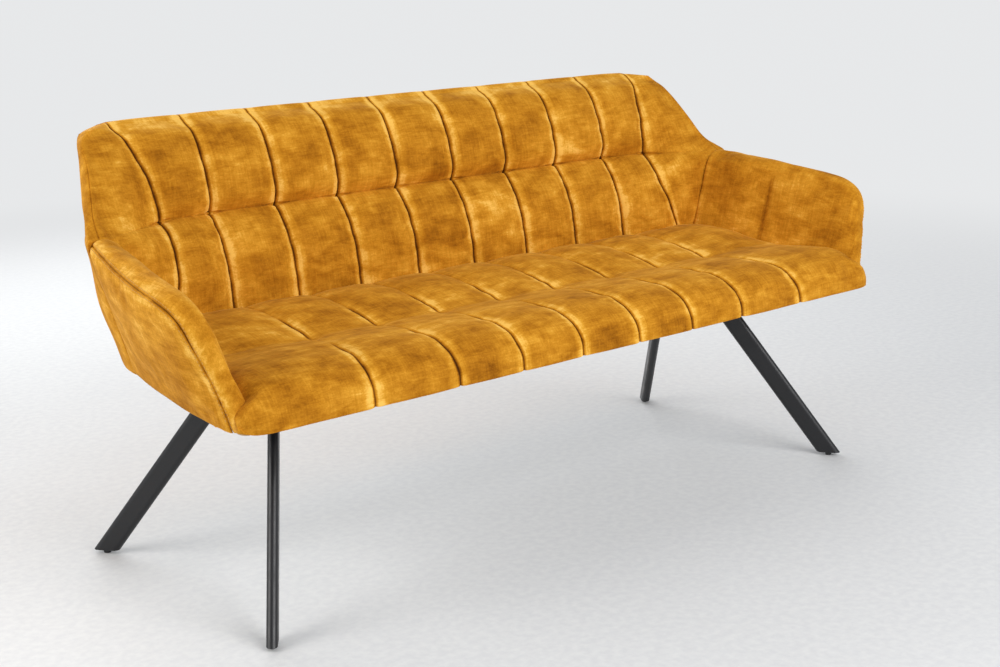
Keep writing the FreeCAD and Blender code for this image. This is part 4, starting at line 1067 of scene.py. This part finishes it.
def seat_walls(finished, line):
    """Add the seat's hidden sides, from its edges down to the board."""
    foot_x = seat_side(np.maximum(line["root_y"], WALL_FRONT), np.full_like(line["y"], BOARD_TOP))
    sides = []
    for sign, column in ((-1, 0), (1, -1)):
        top = finished[:, column]
        foot = points_at(sign * foot_x, line["root_y"], line["root_z"])
        sides.append(np.stack([top + (foot - top) * share for share in WALL_SHARES], axis=1))
    return np.concatenate([sides[0][:, ::-1], finished, sides[1]], axis=1)


def build_seat():
    """Quilted seat, sewn along its channels and at the tufts of its valley."""
    line = seat_profile()
    y = line["y"]
    grid, shape, seam, half = seat_face(line)
    normal = -normals_of(grid)
    edge_gap = half[:, None] - np.abs(grid[:, :, 0])
    start = grid + normal * (PRESET * SEAT_CROWN * line["crown"][:, None] * shape)[:, :, None]
    start = start - normal * (SEAT_EDGE_SINK * np.clip(1 - edge_gap / SEAT_EDGE_WIDTH, 0, 1)**2)[:, :, None]
    puffed = puff("seat_cloth", start[:, ::-1], seat_hold(y, seam)[:, ::-1],
                  pressure=0.9, slack=0.006, limit=0.020)[:, ::-1]
    tied = SEAT_TIE * bell(y + SEAT_VALLEY + SEAT_TIE_AHEAD, width=0.09)
    puffed = puffed + (start - puffed) * tied[:, None, None]
    rear_part = ramp(-y, low=-0.015, high=0.045) * (1 - ramp(-y, low=0.09, high=0.115))
    sewn = np.maximum(np.maximum(rear_part, ramp(-y, low=0.165, high=0.235)), SEWN_LEAST)
    groove = (SEAT_SEAM_SINK * sewn)[:, None] * bell(seam, SEAM_WIDTH)
    tuft_gap = np.hypot((y + SEAT_VALLEY + SEAT_TUFT_AHEAD)[:, None], seam)
    tuft = sum(depth * bell(tuft_gap, width) for depth, width in SEAT_TUFTS)
    uneven = wrinkles(grid * np.array([0.7, 1.3, 1.0]), height=0.0013, scale=14, seed=13)
    uneven = uneven * (0.5 + bell(seam, PUCKER))
    full = seat_walls(push(puffed, -(uneven - groove - tuft)), line)
    floor = full[:, :1] + (full[:, -1:] - full[:, :1]) * np.linspace(0, 1, 9)[:, None]
    # Painted light on the seat: painted highlights beside the seams and painted shade in them, where they are
    # sewn
    bright = sewn[:, None] * seam_painted_light(seam, bright=1.2, dark=3.8)
    # Painted shade over the front roll
    bright = bright - FRONT_PAINTED_SHADE * ramp(-y, low=0.25, high=0.33)[:, None]
    bright = np.pad(bright, ((0, 0), (len(WALL_SHARES), len(WALL_SHARES))))
    make_cushion("seat_quilt", full, floor, cloth_along, bright, "seat_cushion")


def build_lining():
    """Black cloth stapled under the seat board, slightly slack between its edges."""
    inset, side_inset, corner, rear_half = 0.012, 0.0125, 0.178, 0.56
    thickness, slack = 0.0004, 0.0014
    rows, columns = 40, 90
    low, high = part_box("dust_cover")
    x = np.linspace(-1, 1, columns)
    y = np.linspace(low.y, high.y, rows)
    gap = np.maximum(y - (BOARD_REAR - inset - corner), 0)
    half = board_side(y) - side_inset - (corner - np.sqrt(np.maximum(corner**2 - gap**2, 0)))
    half = np.maximum(half, rear_half)
    points = points_at(x * half[:, None], y[:, None], low.z + thickness)
    sag = slack * (1 - x**4) * np.sin(np.linspace(0, math.pi, rows))[:, None]
    points[:, :, 2] -= sag + wrinkles(points, height=0.0004, scale=14, seed=31)
    under = points.copy()
    under[:, :, 2] += thickness
    under[:, [0, -1]] = points[:, [0, -1]]
    piece = close_grid("seat_lining", points, under)
    clothe(piece, underside)
    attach(piece, "root")
    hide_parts("dust_cover")


lower, upper = lower_rows(np.sin(np.linspace(0, QUARTER, 36))), upper_rows(crowded(46))
levels = {key: np.concatenate([lower[key], upper[key][1:]]) for key in lower}
build_back(levels)
build_outer_back(levels)
build_arms()
build_seat()
build_lining()

FINISHES = ((zinc, ("leg_bolts", "t_nuts")), (plastic, ("leg_plug", "glide")), (steel, ("leg",)),
            (plywood, ("seat_board", "back_rib", "back_panel", "arm_frame")),
            (timber, ("back_top_rail", "back_lower_rail", "arm_batten")))
for name, cad_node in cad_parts.items():
    for finish, starts in FINISHES:
        if name.startswith(starts):
            clothe(cad_node, finish)
            break


# Floor, light and camera

BACKGROUND = (0.80, 0.81, 0.82, 1)
SKY = (0.92, 0.95, 1.0, 1)
FLOOR_CORNERS = 30.0 * np.array([(-1, -1, 0), (1, -1, 0), (1, 1, 0), (-1, 1, 0)])


def pale_floor():
    """Pale floor that shades off into the plain background away from the bench."""
    floor = make_object("floor", FLOOR_CORNERS, [(0, 1, 2, 3)])
    material = speckled("pale_floor", (0.72, 0.72, 0.72), (0.78, 0.78, 0.77), (0.6, 0.75), 60, 0.0001)
    tree = material.node_tree
    place = node(tree, "ShaderNodeTexCoord")
    distance = node(tree, "ShaderNodeVectorMath", operation="LENGTH")
    link(tree, place, "Object", distance, 0)
    far = node(tree, "ShaderNodeMapRange", From_Min=1.5, From_Max=4.5, interpolation_type="SMOOTHSTEP")
    link(tree, distance, "Value", far, "Value")
    path = node(tree, "ShaderNodeLightPath")
    seen = node(tree, "ShaderNodeMath", operation="MULTIPLY")
    link(tree, far, "Result", seen, 0)
    link(tree, path, "Is Camera Ray", seen, 1)
    glow = node(tree, "ShaderNodeEmission", Color=BACKGROUND, Strength=1.0)
    mix_shaders(tree, seen, "Value", tree.nodes["Principled BSDF"], glow, tree.nodes["Material Output"])
    clothe(floor, material)


def mix_shaders(tree, share, socket, first, second, output):
    mixed = node(tree, "ShaderNodeMixShader")
    link(tree, share, socket, mixed, 0)
    link(tree, first, 0, mixed, 1)
    link(tree, second, 0, mixed, 2)
    link(tree, mixed, "Shader", output, "Surface")


def set_world():
    """Soft even light, seen by the camera as the plain background."""
    world = bpy.data.worlds.new("studio")
    bpy.context.scene.world = world
    world.use_nodes = True
    tree = world.node_tree
    light = tree.nodes["Background"]
    light.inputs["Color"].default_value = SKY
    light.inputs["Strength"].default_value = 0.5
    plain = node(tree, "ShaderNodeBackground", Color=BACKGROUND, Strength=1.0)
    path = node(tree, "ShaderNodeLightPath")
    mix_shaders(tree, path, "Is Camera Ray", light, plain, tree.nodes["World Output"])


def lamp(name, place, aim, size, power, colour=(1, 1, 1)):
    light = bpy.data.lights.new(name, "AREA")
    light.shape = "RECTANGLE"
    light.size, light.size_y = size
    light.energy = power
    light.color = colour
    piece = bpy.data.objects.new(name, light)
    piece.location = place
    piece.rotation_euler = (Vector(aim) - Vector(place)).to_track_quat("-Z", "Y").to_euler()
    bpy.context.scene.collection.objects.link(piece)


def set_camera(place, yaw, pitch, roll, lens, sensor):
    camera = bpy.data.cameras.new("photo_camera")
    camera.sensor_fit = "HORIZONTAL"
    camera.sensor_width = sensor
    camera.lens = lens
    piece = bpy.data.objects.new("photo_camera", camera)
    yaw, pitch, roll = (math.radians(angle) for angle in (yaw, pitch, roll))
    forward = Vector((math.sin(yaw) * math.cos(pitch), math.cos(yaw) * math.cos(pitch), -math.sin(pitch)))
    right = Vector((math.cos(yaw), -math.sin(yaw), 0))
    up = right.cross(forward)
    tilted_right = right * math.cos(roll) + up * math.sin(roll)
    tilted_up = up * math.cos(roll) - right * math.sin(roll)
    turn = Matrix((tilted_right, tilted_up, -forward)).transposed().to_4x4()
    piece.matrix_world = Matrix.Translation(place) @ turn
    bpy.context.scene.collection.objects.link(piece)
    bpy.context.scene.camera = piece


pale_floor()
lamp("key_light", place=(-3.4, 0.9, 2.0), aim=(0, 0.1, 0.5), size=(2.2, 2.0), power=62,
     colour=(1.0, 0.98, 0.95))
lamp("window_light", place=(0.8, 3.4, 1.9), aim=(0, 0.2, 0.7), size=(4.0, 1.6), power=80,
     colour=(0.97, 0.99, 1.0))
lamp("front_light", place=(0.4, -3.9, 2.6), aim=(0, 0, 0.55), size=(3.4, 2.2), power=130)
set_world()
set_camera(place=(-2.1449, -2.4816, 1.1946), yaw=41.057, pitch=14.210, roll=-0.595, lens=58.757, sensor=36)
bpy.context.scene.view_settings.view_transform = "Standard"
